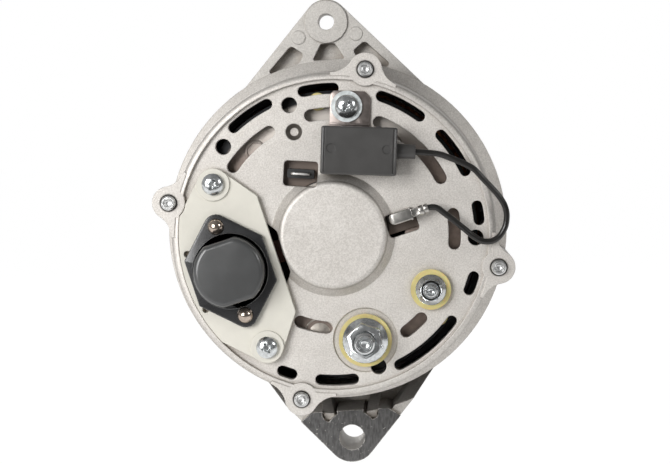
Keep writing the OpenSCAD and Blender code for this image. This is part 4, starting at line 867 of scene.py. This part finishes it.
def pan_screw(name, head_r, head_h, seat_z, shank_r=2.5):
    """A screw whose head sits at seat_z."""
    head = rod(name, head_r, seat_z, seat_z + head_h * 0.42)
    pick_faces(head, is_top)
    for rise in DOME_RISE:
        bpy.ops.mesh.inset(thickness=head_r * 0.16 * MM)
        bpy.ops.transform.translate(value=(0, 0, rise * head_h * MM))
    bpy.ops.object.mode_set(mode="OBJECT")
    recess_z = seat_z + head_h * 0.28
    for turn in (0, 90):
        bar = block("recess_bar", (head_r * 1.3, 1.35, head_h), (0, 0, recess_z + head_h / 2))
        pick_faces(bar, lambda face: face.normal.z < -0.99)
        bpy.ops.transform.resize(value=(0.42, 0.6, 1))
        bpy.ops.object.mode_set(mode="OBJECT")
        bar.data.transform(Matrix.Rotation(math.radians(turn + 45), 4, "Z"))
        cut(head, bar)
    cut(head, rod("recess_cone", 0.4, recess_z, seat_z + head_h + 0.4, sides=16, tip_r=1.7))
    soften(head, 0.1)
    shank = rod("shank", shank_r, WALL_INSIDE - 1, seat_z + 0.2)
    return join(head, shank)


plate_screw = pan_screw("plate_screw_low", 4.3, 2.8, PLATE_SEAT)
for side, screw in ((1, copy_of(plate_screw, "plate_screw_left")), (-1, plate_screw)):
    place = Vector((-PLATE_SCREW_R, side * PLATE_SCREW_HALF))
    place.rotate(Matrix.Rotation(math.radians(REG_TURN), 2))
    seat(screw, zinc, ["plate_screws"], at=place, turn=20 * side)

strap_screw = pan_screw("strap_screw", 4.5, 3, STRAP_SEAT)
seat(strap_screw, zinc, ["capacitor_screw"], at=CAPACITOR_SCREW_AT, turn=12)
print("screws", len(strap_screw.data.polygons), "faces each")

# %% [markdown]
# ## Threads
# A thread is a small diamond swept along a helix round a thinner core: the
# outer corner is the crest, and the upper and lower corners of neighbouring
# turns meet at the root. The real pitches are 1.25 mm on M8, 0.8 on M5 and
# 1 mm on the M6 through bolts. Each end has a turned groove round a low
# middle, as cut-off bar stock has.

# %% Wound wire and threads
END_RINGS = ((0.16, 0, 0), (0.14, 0, -0.2), (0.16, 0.03, 0.12), (0.12, 0, -0.05))
SCREW_STEPS = 24


def wound(name, sides, wire_r, coil_r, first, pitch, turns):
    """Turns of wire round the bench's z axis, open at both ends."""
    bpy.ops.object.select_all(action="DESELECT")
    bpy.ops.mesh.primitive_circle_add(vertices=sides, radius=wire_r * MM,
                                      location=(coil_r * MM, 0, first * MM),
                                      rotation=(math.radians(90), 0, 0))
    wire = named(name)
    apply_modifier(wire, "SCREW", axis="Z", angle=math.radians(360), screw_offset=pitch * MM,
                   iterations=turns, steps=SCREW_STEPS, render_steps=SCREW_STEPS,
                   use_merge_vertices=False)
    return wire


def close_ends(wire):
    """Fill the open ends of a wire and turn its faces outwards."""
    only(wire)
    bpy.ops.object.mode_set(mode="EDIT")
    bpy.ops.mesh.select_mode(type="EDGE")
    bpy.ops.mesh.select_all(action="DESELECT")
    bpy.ops.mesh.select_non_manifold()
    bpy.ops.mesh.edge_face_add()
    bpy.ops.mesh.select_all(action="SELECT")
    bpy.ops.mesh.normals_make_consistent(inside=False)
    bpy.ops.object.mode_set(mode="OBJECT")


def thread(name, r, pitch, low, high):
    """A threaded end between two heights."""
    root_r = r - 0.6 * pitch
    core = rod(name, root_r, low, high, tip_r=root_r)
    pick_faces(core, is_top)
    for width, aside, lift in END_RINGS:
        bpy.ops.mesh.inset(thickness=width * r * MM)
        bpy.ops.transform.translate(value=(aside * r * MM, 0, lift * r * MM))
    bpy.ops.object.mode_set(mode="OBJECT")
    turns = int((high - low) / pitch - 0.6)
    ridge = wound("ridge", 4, 0.55 * pitch, root_r, high - (turns + 0.75) * pitch, pitch, turns)
    close_ends(ridge)
    rod_with_thread = join(core, ridge)
    bpy.ops.object.shade_smooth_by_angle(angle=math.radians(30))
    return rod_with_thread


print("a thread has", SCREW_STEPS, "steps a turn")

# %% [markdown]
# A stud is a threaded end, a plain shank and a hexagon head inside the frame.
# The hexagon's corners are turned off: a wide cone, laid over it from either
# side, leaves only what lies inside both.

# %% Studs and through bolts
BATTERY_AT = (12.6, -41.3)
LAMP_AT = (38.2, -21.2)
CHAMFER_SHARE = 0.49


def hexagon(name, across_flats, low, high):
    """A hexagon with its corners turned off at both faces."""
    corner_r = across_flats / 2 / math.cos(math.radians(30))
    head = rod(name, corner_r, low, high, sides=6)
    middle = (low + high) / 2
    half = (high - low) / 2
    face_r = across_flats * CHAMFER_SHARE
    for sign in (-1, 1):
        cone = rod("turned_off", face_r, -half, half, tip_r=face_r + 4 * half)
        cone.data.transform(Matrix.Diagonal((1, 1, -sign, 1)))
        cone.data.transform(Matrix.Translation((0, 0, middle * MM)))
        if sign > 0:
            cone.data.flip_normals()
        cut(head, cone, "INTERSECT")
    soften(head, 0.12)
    return head


battery = thread("battery_stud_thread", 4, 1.25, 6.5, 16)
battery = join(battery, rod("shank", 4, -10.3, 7), hexagon("head", 13, -15.25, -10.25))
seat(battery, zinc, ["battery_stud"], at=BATTERY_AT)
lamp = thread("lamp_stud_thread", 2.5, 0.8, 4.5, 9)
lamp = join(lamp, rod("shank", 2.5, -18.7, 5), hexagon("head", 8, -21.65, -18.65))
seat(lamp, zinc, ["lamp_stud"], at=LAMP_AT)

bolt = thread("through_bolt_0", 3, 1, -6, 2.4)
bolt = join(bolt, rod("shank", 3, -94.2, -5.5), hexagon("head", 10, -98, -94))
bolts = [bolt] + [copy_of(bolt, f"through_bolt_{number}") for number in (1, 2, 3)]
for number, piece in enumerate(bolts):
    angle = math.radians(BOLT_ANGLE + 90 * number)
    place = (BOLT_CIRCLE_R * math.cos(angle), BOLT_CIRCLE_R * math.sin(angle))
    seat(piece, bolt_zinc, ["through_bolts"], at=place, turn=35 * number)
print("bolt", len(bolt.data.polygons), "faces")

# %% [markdown]
# ## Flange nuts
# Both terminals carry a nut forged in one piece with its washer. The hexagon
# is turned off at its top, and a cone joins it to the flange.

# %% Flange nuts
BATTERY_SEAT = 0.15
LAMP_SEAT = 0.75


def flange_nut(name, across_flats, flange_r, seat_z, top_z, hole_r):
    """A flange nut that sits at seat_z."""
    nut = hexagon("nut_hexagon", across_flats, seat_z + 0.2, top_z)
    skirt = rod("nut_skirt", flange_r - 0.15, seat_z + 0.9, seat_z + 2.9,
                tip_r=across_flats * 0.5)
    cut(nut, skirt, "UNION")
    washer = rod("nut_washer", flange_r, seat_z, seat_z + 0.9)
    cut(nut, washer, "UNION")
    cut(nut, rod("nut_hole", hole_r, seat_z - 1, top_z + 1))
    cut(nut, rod("nut_lead_in", hole_r - 0.1, top_z - 0.6, top_z + 0.1, tip_r=hole_r + 0.6))
    soften(nut, 0.14)
    nut.name = name
    return nut


battery_nut = flange_nut("battery_flange_nut", 13, 8.9, BATTERY_SEAT, 8.15, 4.02)
seat(battery_nut, zinc, ["battery_nut"], at=BATTERY_AT, turn=12)
lamp_nut = flange_nut("lamp_flange_nut", 8, 6, LAMP_SEAT, 5.75, 2.52)
seat(lamp_nut, zinc, ["lamp_nut"], at=LAMP_AT, turn=26)
print("nuts", len(battery_nut.data.polygons), "and", len(lamp_nut.data.polygons), "faces")

# %% [markdown]
# ## Capacitor
# The case is a moulded block with softly rounded corners, two ejector marks,
# two fine lines of its lid's frame, a nub on its edge and a collar for its
# lead. The lid was glued in, which leaves a fine raised rim at the lead's end.

# %% Capacitor
CAPACITOR_AT = (10.2, 33)
CAPACITOR_TURN = -1.7
CASE = (29.3, 18.6, 12)
CASE_LOW = -0.65
CASE_TOP = CASE_LOW + CASE[2]
CASE_END = CASE[0] / 2
CASE_MIDDLE = CASE_LOW + CASE[2] / 2
OUTLET_Z = 4.39
MARK_X = 10.8
LINE_X = 13.35

case = block("capacitor_case", CASE, (0, 0, CASE_MIDDLE))
pick_faces(case, lambda face: abs(face.normal.z) < 0.1)
bpy.ops.mesh.subdivide(number_cuts=1)
bpy.ops.object.mode_set(mode="OBJECT")
soften(case, 0.9, segments=4, angle=60)
for x in (-MARK_X, MARK_X):
    cut(case, rod("ejector_mark", 1.7, CASE_TOP - 0.35, CASE_TOP + 1, at=(x, 0.8), sides=32))
    island = rod("ejector_pin", 0.8, CASE_TOP - 0.5, CASE_TOP - 0.15, at=(x, 0.8), sides=24)
    case = join(case, island)
for x in (-LINE_X, LINE_X):
    cut(case, block("frame_line", (0.3, CASE[1] - 1.4, 0.5), (x, 0, CASE_TOP)))
nub = rod("edge_nub", 1.5, CASE_LOW + 2, CASE_TOP - 0.6, at=(7.4, 8.3), sides=24)
soften(nub, 0.2)
case = join(case, nub)
lid_at = (CASE_END - 0.34, 0, CASE_MIDDLE + 0.62)
lid = block("lid_rim", (0.7, CASE[1] - 1.2, CASE[2] - 1.2), lid_at)
soften(lid, 0.2)
collar = rod("lead_collar", 3, 0, 7.2, tip_r=2.75)
pick_faces(collar, is_top)
bpy.ops.mesh.inset(thickness=1.5 * MM)
bpy.ops.mesh.extrude_region_move(TRANSFORM_OT_translate={"value": (0, 0, -1.4 * MM)})
bpy.ops.object.mode_set(mode="OBJECT")
soften(collar, 0.25)
collar.data.transform(Matrix.Translation((CASE_END * MM, 0.2 * MM, OUTLET_Z * MM))
                      @ Matrix.Rotation(math.radians(90), 4, "Y"))
case = join(case, lid, collar)
seat(case, case_black, ["capacitor_body"], at=CAPACITOR_AT, turn=CAPACITOR_TURN)
print("capacitor", len(case.data.polygons), "faces")

# %% [markdown]
# The strap under the case is a stamped strip. Its far corners are clipped, and
# it is crimped upwards a little where it meets the case.

# %% Strap
STRAP_W = 15.8
STRAP_H = 1.1
STRAP_LOW = -1.75
STRAP_L = 22.2
STRAP_AT = (6.4, 45.1)

strap_middle = (0, 0, STRAP_LOW + STRAP_H / 2)
strap = block("capacitor_strap_strip", (STRAP_W, STRAP_L, STRAP_H), strap_middle)
for side, size in ((-1, 2.0), (1, 3.4)):
    corner = block("corner_clip", (size, size, 4), (0, 0, 0))
    place = Matrix.Translation((side * STRAP_W / 2 * MM, STRAP_L / 2 * MM, 0))
    corner.data.transform(place @ Matrix.Rotation(math.radians(45), 4, "Z"))
    cut(strap, corner)
cut(strap, rod("strap_hole", 2.55, -4, 4, at=(-0.9, 5.2)))
bead = block("strap_bead", (STRAP_W - 0.6, 0.9, 0.5), (0, -1.9, STRAP_LOW + STRAP_H + 0.1))
soften(bead, 0.22)
soften(strap, 0.16)
strap = join(strap, bead)
seat(strap, strap_steel, ["capacitor_strap"], at=STRAP_AT, turn=CAPACITOR_TURN)
print("strap", len(strap.data.polygons), "faces")

# %% [markdown]
# ## Regulator
# The regulator is a sealed steel can on a plate with two ears. The plate's
# outline is the hull of six round corners, the ears' large and the others
# small.

# %% Regulator plate
REGULATOR_AT = Matrix.Rotation(math.radians(REG_TURN), 2) @ Vector((-42.3, -0.6))
PLATE_TOP = 1.25
FLANGE_TOP = 3.85


def hull_of(name, corners, low, high):
    """A plate whose outline wraps round corners given as x, y and radius."""
    rods = [rod(name, r, low, high, at=(x, y), sides=40) for x, y, r in corners]
    plate = join(*rods)
    only(plate)
    bpy.ops.object.mode_set(mode="EDIT")
    bpy.ops.mesh.select_all(action="SELECT")
    bpy.ops.mesh.convex_hull()
    bpy.ops.mesh.dissolve_limited(angle_limit=math.radians(1))
    bpy.ops.object.mode_set(mode="OBJECT")
    return plate


corners = [(15.5, -9.1, 0.5), (15.5, 9.1, 0.5), (0, 18.2, 4.8), (-15.5, 9.1, 0.5),
           (-15.5, -9.1, 0.5), (0, -18.2, 4.8)]
regulator_plate = hull_of("regulator_flange", corners, PLATE_TOP, FLANGE_TOP)
soften(regulator_plate, 0.75, segments=4)
seat(regulator_plate, can_paint, ["regulator_base"], at=REGULATOR_AT, turn=REG_TURN)
print("regulator plate", len(regulator_plate.data.polygons), "faces")

# %% [markdown]
# The can was drawn from sheet and rolled in at its foot, which leaves a lip, a
# dark moat inside it and a body with two flats. Each flat is made by flattening
# the points beyond it. The soft shoulder is a quarter circle in seven insets.

# %% Regulator can
CAN_TOP = 13.45
LIP_R = 15
MOAT_R = 14.45
BODY_R = 13.75
CAN_FLAT = 12.4
SHOULDER = 2.0
SHOULDER_STEPS = 7

can = rod("regulator_lip", LIP_R, FLANGE_TOP, FLANGE_TOP + 1.1, sides=96)
cut(can, rod("moat", MOAT_R, FLANGE_TOP + 0.3, FLANGE_TOP + 2, sides=96))
soften(can, 0.28, segments=3)
body = rod("regulator_body", BODY_R, FLANGE_TOP, CAN_TOP - SHOULDER, sides=96)
for side in (-1, 1):
    pick_points(body, lambda place: place.y * side > CAN_FLAT * MM)
    bpy.ops.transform.resize(value=(1, 0, 1), center_override=(0, side * CAN_FLAT * MM, 0))
    bpy.ops.object.mode_set(mode="OBJECT")
pick_faces(body, is_top)
for step in range(SHOULDER_STEPS):
    a, b = (math.radians(90 * (step + turn) / SHOULDER_STEPS) for turn in (0, 1))
    bpy.ops.mesh.inset(thickness=SHOULDER * (math.cos(a) - math.cos(b)) * MM)
    bpy.ops.transform.translate(value=(0, 0, SHOULDER * (math.sin(b) - math.sin(a)) * MM))
bpy.ops.object.mode_set(mode="OBJECT")
bpy.ops.object.shade_smooth_by_angle(angle=math.radians(40))
can = join(can, body)
can.name = "regulator_can_shell"
seat(can, can_grey, ["regulator_can"], at=REGULATOR_AT, turn=REG_TURN)
print("regulator can", len(can.data.polygons), "faces")

# %% [markdown]
# ## Diode plate behind the vents
# Through the inner vents the positive plate shows, a dull sheet with a stamped
# ring. A full ring is cut down to the sweep of the plate with two half planes.

# %% Diode plate
Z_POSITIVE = -7.75
DIODE_CIRCLE = 40
PLATE_SWEEP = (-118, 149)
STAMPED_AT = (45, 133.5)


def polar(r, angle):
    """The move to a point on the bench at r millimetres and an angle in degrees."""
    turn = math.radians(angle)
    return Matrix.Translation((r * math.cos(turn) * MM, r * math.sin(turn) * MM, 0))


def half_plane(angle):
    """A block over the half plane that lies anticlockwise of a ray."""
    slab = block("half_plane", (300, 150, 20), (0, 75, Z_POSITIVE))
    slab.data.transform(Matrix.Rotation(math.radians(angle), 4, "Z"))
    return slab


plate = rod("diode_plate", 56.6, Z_POSITIVE - 2.5, Z_POSITIVE, sides=128)
cut(plate, rod("plate_bore", 28, -20, 0, sides=96))
missing = half_plane(PLATE_SWEEP[1])
cut(missing, half_plane(PLATE_SWEEP[0] + 180), "INTERSECT")
cut(plate, missing)
soften(plate, 0.25)
stamped = rod("stamped_ring", 4.4, Z_POSITIVE - 0.3, Z_POSITIVE + 0.35, sides=40)
cut(stamped, rod("ring_hole", 3.1, Z_POSITIVE - 1, Z_POSITIVE + 1, sides=40))
soften(stamped, 0.2)
stamped.data.transform(polar(*STAMPED_AT))
plate = join(plate, stamped)
seat(plate, diode_sheet, ["positive_plate"])
print("diode plate", len(plate.data.polygons), "faces")

# %% [markdown]
# Three diodes are pressed into this plate. Each is a disc with a rolled rim
# round a shallow dish, with a neck and a lead below. They are one piece.

# %% Diodes
DIODE_ANGLES = (-98, 22, 58)


def diode_disc(name):
    disc = rod(name, 6.35, Z_POSITIVE - 6, Z_POSITIVE + 0.3, sides=40)
    pick_faces(disc, is_top)
    bpy.ops.mesh.inset(thickness=1.1 * MM)
    bpy.ops.transform.translate(value=(0, 0, -0.5 * MM))
    bpy.ops.mesh.inset(thickness=1.6 * MM)
    bpy.ops.transform.translate(value=(0, 0, 0.35 * MM))
    bpy.ops.object.mode_set(mode="OBJECT")
    soften(disc, 0.2)
    neck = rod("diode_neck", 5.4, Z_POSITIVE - 8, Z_POSITIVE - 6, sides=32, tip_r=6.0)
    lead = rod("diode_lead", 0.8, Z_POSITIVE - 13, Z_POSITIVE - 7.5, sides=16)
    return join(disc, neck, lead)


diode = diode_disc("positive_diode_0")
diodes = [diode] + [copy_of(diode, f"positive_diode_{number}") for number in (1, 2)]
for disc, angle in zip(diodes, DIODE_ANGLES):
    disc.data.transform(polar(DIODE_CIRCLE, angle))
diodes = seat(join(*diodes), diode_can, ["positive_diodes"])
print("diodes", len(diodes.data.polygons), "faces")

# %% [markdown]
# ## Brush springs
# As a brush is pushed back, it slides up to five millimetres into its channel,
# and a wound spring behind it gives way. A spring is three helices of round
# wire, a closed turn at each end and five open turns between them, merged into
# one wire.

# %% Brush springs
BRUSH_BACK = 29.3
CHANNEL_END = 44.9
RING_Z = {"rear": -20.95, "front": -32.95}
COIL_R = 1.8
WIRE_R = 0.35
FREE_GAP = 0.05
CLOSED_TURN = 0.72
OPEN_TURNS = 5

coil_length = CHANNEL_END - BRUSH_BACK - 2 * (WIRE_R + FREE_GAP)
open_pitch = (coil_length - 2 * CLOSED_TURN) / OPEN_TURNS
coil = join(wound("rear_brush_coil", 8, WIRE_R, COIL_R, 0, CLOSED_TURN, 1),
            wound("open_turns", 8, WIRE_R, COIL_R, CLOSED_TURN, open_pitch, OPEN_TURNS),
            wound("end_turn", 8, WIRE_R, COIL_R, coil_length - CLOSED_TURN, CLOSED_TURN, 1))
bpy.ops.object.mode_set(mode="EDIT")
bpy.ops.mesh.select_all(action="SELECT")
bpy.ops.mesh.remove_doubles(threshold=0.01 * MM)
bpy.ops.object.mode_set(mode="OBJECT")
close_ends(coil)
bpy.ops.object.shade_smooth()

coil_start = Matrix.Rotation(math.radians(90), 4, "Y")
coils = {"rear": coil, "front": copy_of(coil, "front_brush_coil")}
for which, spring in coils.items():
    place = Matrix.Translation(((WIRE_R + FREE_GAP - CHANNEL_END) * MM, 0, RING_Z[which] * MM))
    spring.data.transform(place @ coil_start)
    seat(spring, spring_wire, [f"{which}_brush_spring"], turn=REG_TURN)
    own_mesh(spring)
print("springs", len(coil.data.polygons), "faces each, pitch", round(open_pitch, 2), "mm")

# %% [markdown]
# ## Push-on terminal
# The terminal is a flat tube of tinned brass that grips the blade. Behind it
# come a belled collar, an open neck, a bright band on the bare wire and a
# second crimp round the sheath, each of them a little different in size.

# %% Push-on terminal
D_BLADE_AT = (26.4, 7.3)
CRIMP_Z = 3.0
CRIMP_WALL = 0.35
CRIMP_SQUASH = 0.85


def lying_tube(name, r, x_from, x_to):
    """A crimped tube along x, a little wider than it is high."""
    tube = rod(name, r, x_from, x_to, sides=32)
    cut(tube, rod("tube_hole", r - CRIMP_WALL, x_from - 1, x_to + 1, sides=32))
    soften(tube, 0.1)
    tube.data.transform(Matrix.Translation((0, 0, CRIMP_Z * MM))
                        @ Matrix.Rotation(math.radians(90), 4, "Y"))
    tube.data.transform(Matrix.Diagonal((1, 1 / CRIMP_SQUASH, 1, 1)))
    return tube


grip = block("push_on_terminal", (9.4, 4.5, 5.4), (-0.1, 0, 1.85))
pick_faces(grip, lambda face: face.normal.x < -0.99)
bpy.ops.mesh.bevel(offset=2.1 * MM, segments=6, affect="EDGES")
bpy.ops.object.mode_set(mode="OBJECT")
cut(grip, block("blade_slit", (7.5, 1.0, 9), (0, 0, -1.5)))
soften(grip, 0.7, segments=4, angle=50)
collar_ring = block("terminal_collar", (0.8, 5.1, 5.0), (4.0, 0, 1.9))
soften(collar_ring, 0.35, segments=3)
neck = block("terminal_neck", (3.6, 3.2, 2.6), (5.9, 0, CRIMP_Z - 0.4))
pick_faces(neck, is_top)
bpy.ops.mesh.inset(thickness=0.35 * MM)
bpy.ops.mesh.extrude_region_move(TRANSFORM_OT_translate={"value": (0, 0, -2.0 * MM)})
bpy.ops.object.mode_set(mode="OBJECT")
soften(neck, 0.1)
wire_crimp = lying_tube("wire_crimp", 1.75, 7.4, 9.2)
sheath_crimp = lying_tube("sheath_crimp", 1.6, 9.5, 11.15)
terminal = join(grip, collar_ring, neck, wire_crimp, sheath_crimp)
seat(terminal, tin, ["lead_terminal"], at=D_BLADE_AT, turn=REG_TURN)
print("push-on terminal", len(terminal.data.polygons), "faces")

# %% [markdown]
# ## Blade terminals
# A blade is stamped from 0.8 mm sheet, with its corners clipped so that the
# push-on terminal finds it, and a small hole for the terminal's dimple.

# %% Blade terminals
W_BLADE_AT = (-12.8, 23.9)
BLADE_W = 7.2


def blade(name):
    strip = block(name, (BLADE_W, 0.8, 8.95), (0, 0, -2.075))
    for x in (-BLADE_W / 2, BLADE_W / 2):
        corner = block("blade_clip", (1.2, 2, 1.2), (0, 0, 0))
        corner.data.transform(Matrix.Translation((x * MM, 0, 2.4 * MM))
                              @ Matrix.Rotation(math.radians(45), 4, "Y"))
        cut(strip, corner)
    hole = rod("blade_hole", 0.8, -2, 2, sides=20)
    hole.data.transform(Matrix.Rotation(math.radians(90), 4, "X"))
    cut(strip, hole)
    soften(strip, 0.12)
    return strip


w_blade = blade("w_blade")
d_blade = copy_of(w_blade, "d_blade")
seat(w_blade, highlit_blade_tin, ["blade_terminals"], at=W_BLADE_AT, turn=-3)
seat(d_blade, highlit_blade_tin, ["blade_terminals"], at=D_BLADE_AT, turn=REG_TURN)
print("blades", len(w_blade.data.polygons), "faces each")

# %% [markdown]
# ## The capacitor's lead
# A short loose lead runs from the capacitor's outlet, out over the rim and
# back to the push-on terminal. It is a free cord, so its length and thickness
# are real facts: its route repeats the points of the CAD solid, and a smooth
# curve through them carries the round sheath.

# %% Lead
LEAD_R = 1.2
LEAD_ROUTE = [
    (30.6, 32.6, 4.39), (37, 32.2, 4.2), (41.5, 31.6, 4.4), (46, 30, 4.8), (50.5, 28.2, 5),
    (54.5, 26, 5), (58, 22.4, 4.8), (61.6, 18.6, 4.6), (65, 14.6, 4.2), (67, 10.6, 3.6),
    (67.4, 6.4, 3), (66.3, 2.2, 2.8), (63.4, -1.2, 3), (59.2, -2.2, 3.2), (55, -0.4, 3.4),
    (51, 2.8, 3.6), (47, 6, 3.6), (43, 9, 3.4), (40.2, 10.9, 3.2), (37.9, 11.05, 3),
    (36.55, 10.68, 3),
]
lead_points = [bench(*p) for p in LEAD_ROUTE]

curve = bpy.data.curves.new("capacitor_lead_sheath", "CURVE")
curve.dimensions = "3D"
curve.bevel_depth = LEAD_R * MM
curve.bevel_resolution = 5
curve.use_fill_caps = True
spline = curve.splines.new("BEZIER")
spline.bezier_points.add(len(lead_points) - 1)
for point, place in zip(spline.bezier_points, lead_points):
    point.co = place
    point.handle_left_type = "AUTO"
    point.handle_right_type = "AUTO"
spline.use_smooth = True
lead = bpy.data.objects.new("capacitor_lead_sheath", curve)
bpy.context.scene.collection.objects.link(lead)
curve.materials.append(sheath.material)
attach(lead, "housing")
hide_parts("capacitor_lead")

# %% [markdown]
# ## Finish

# %% Finish
import json
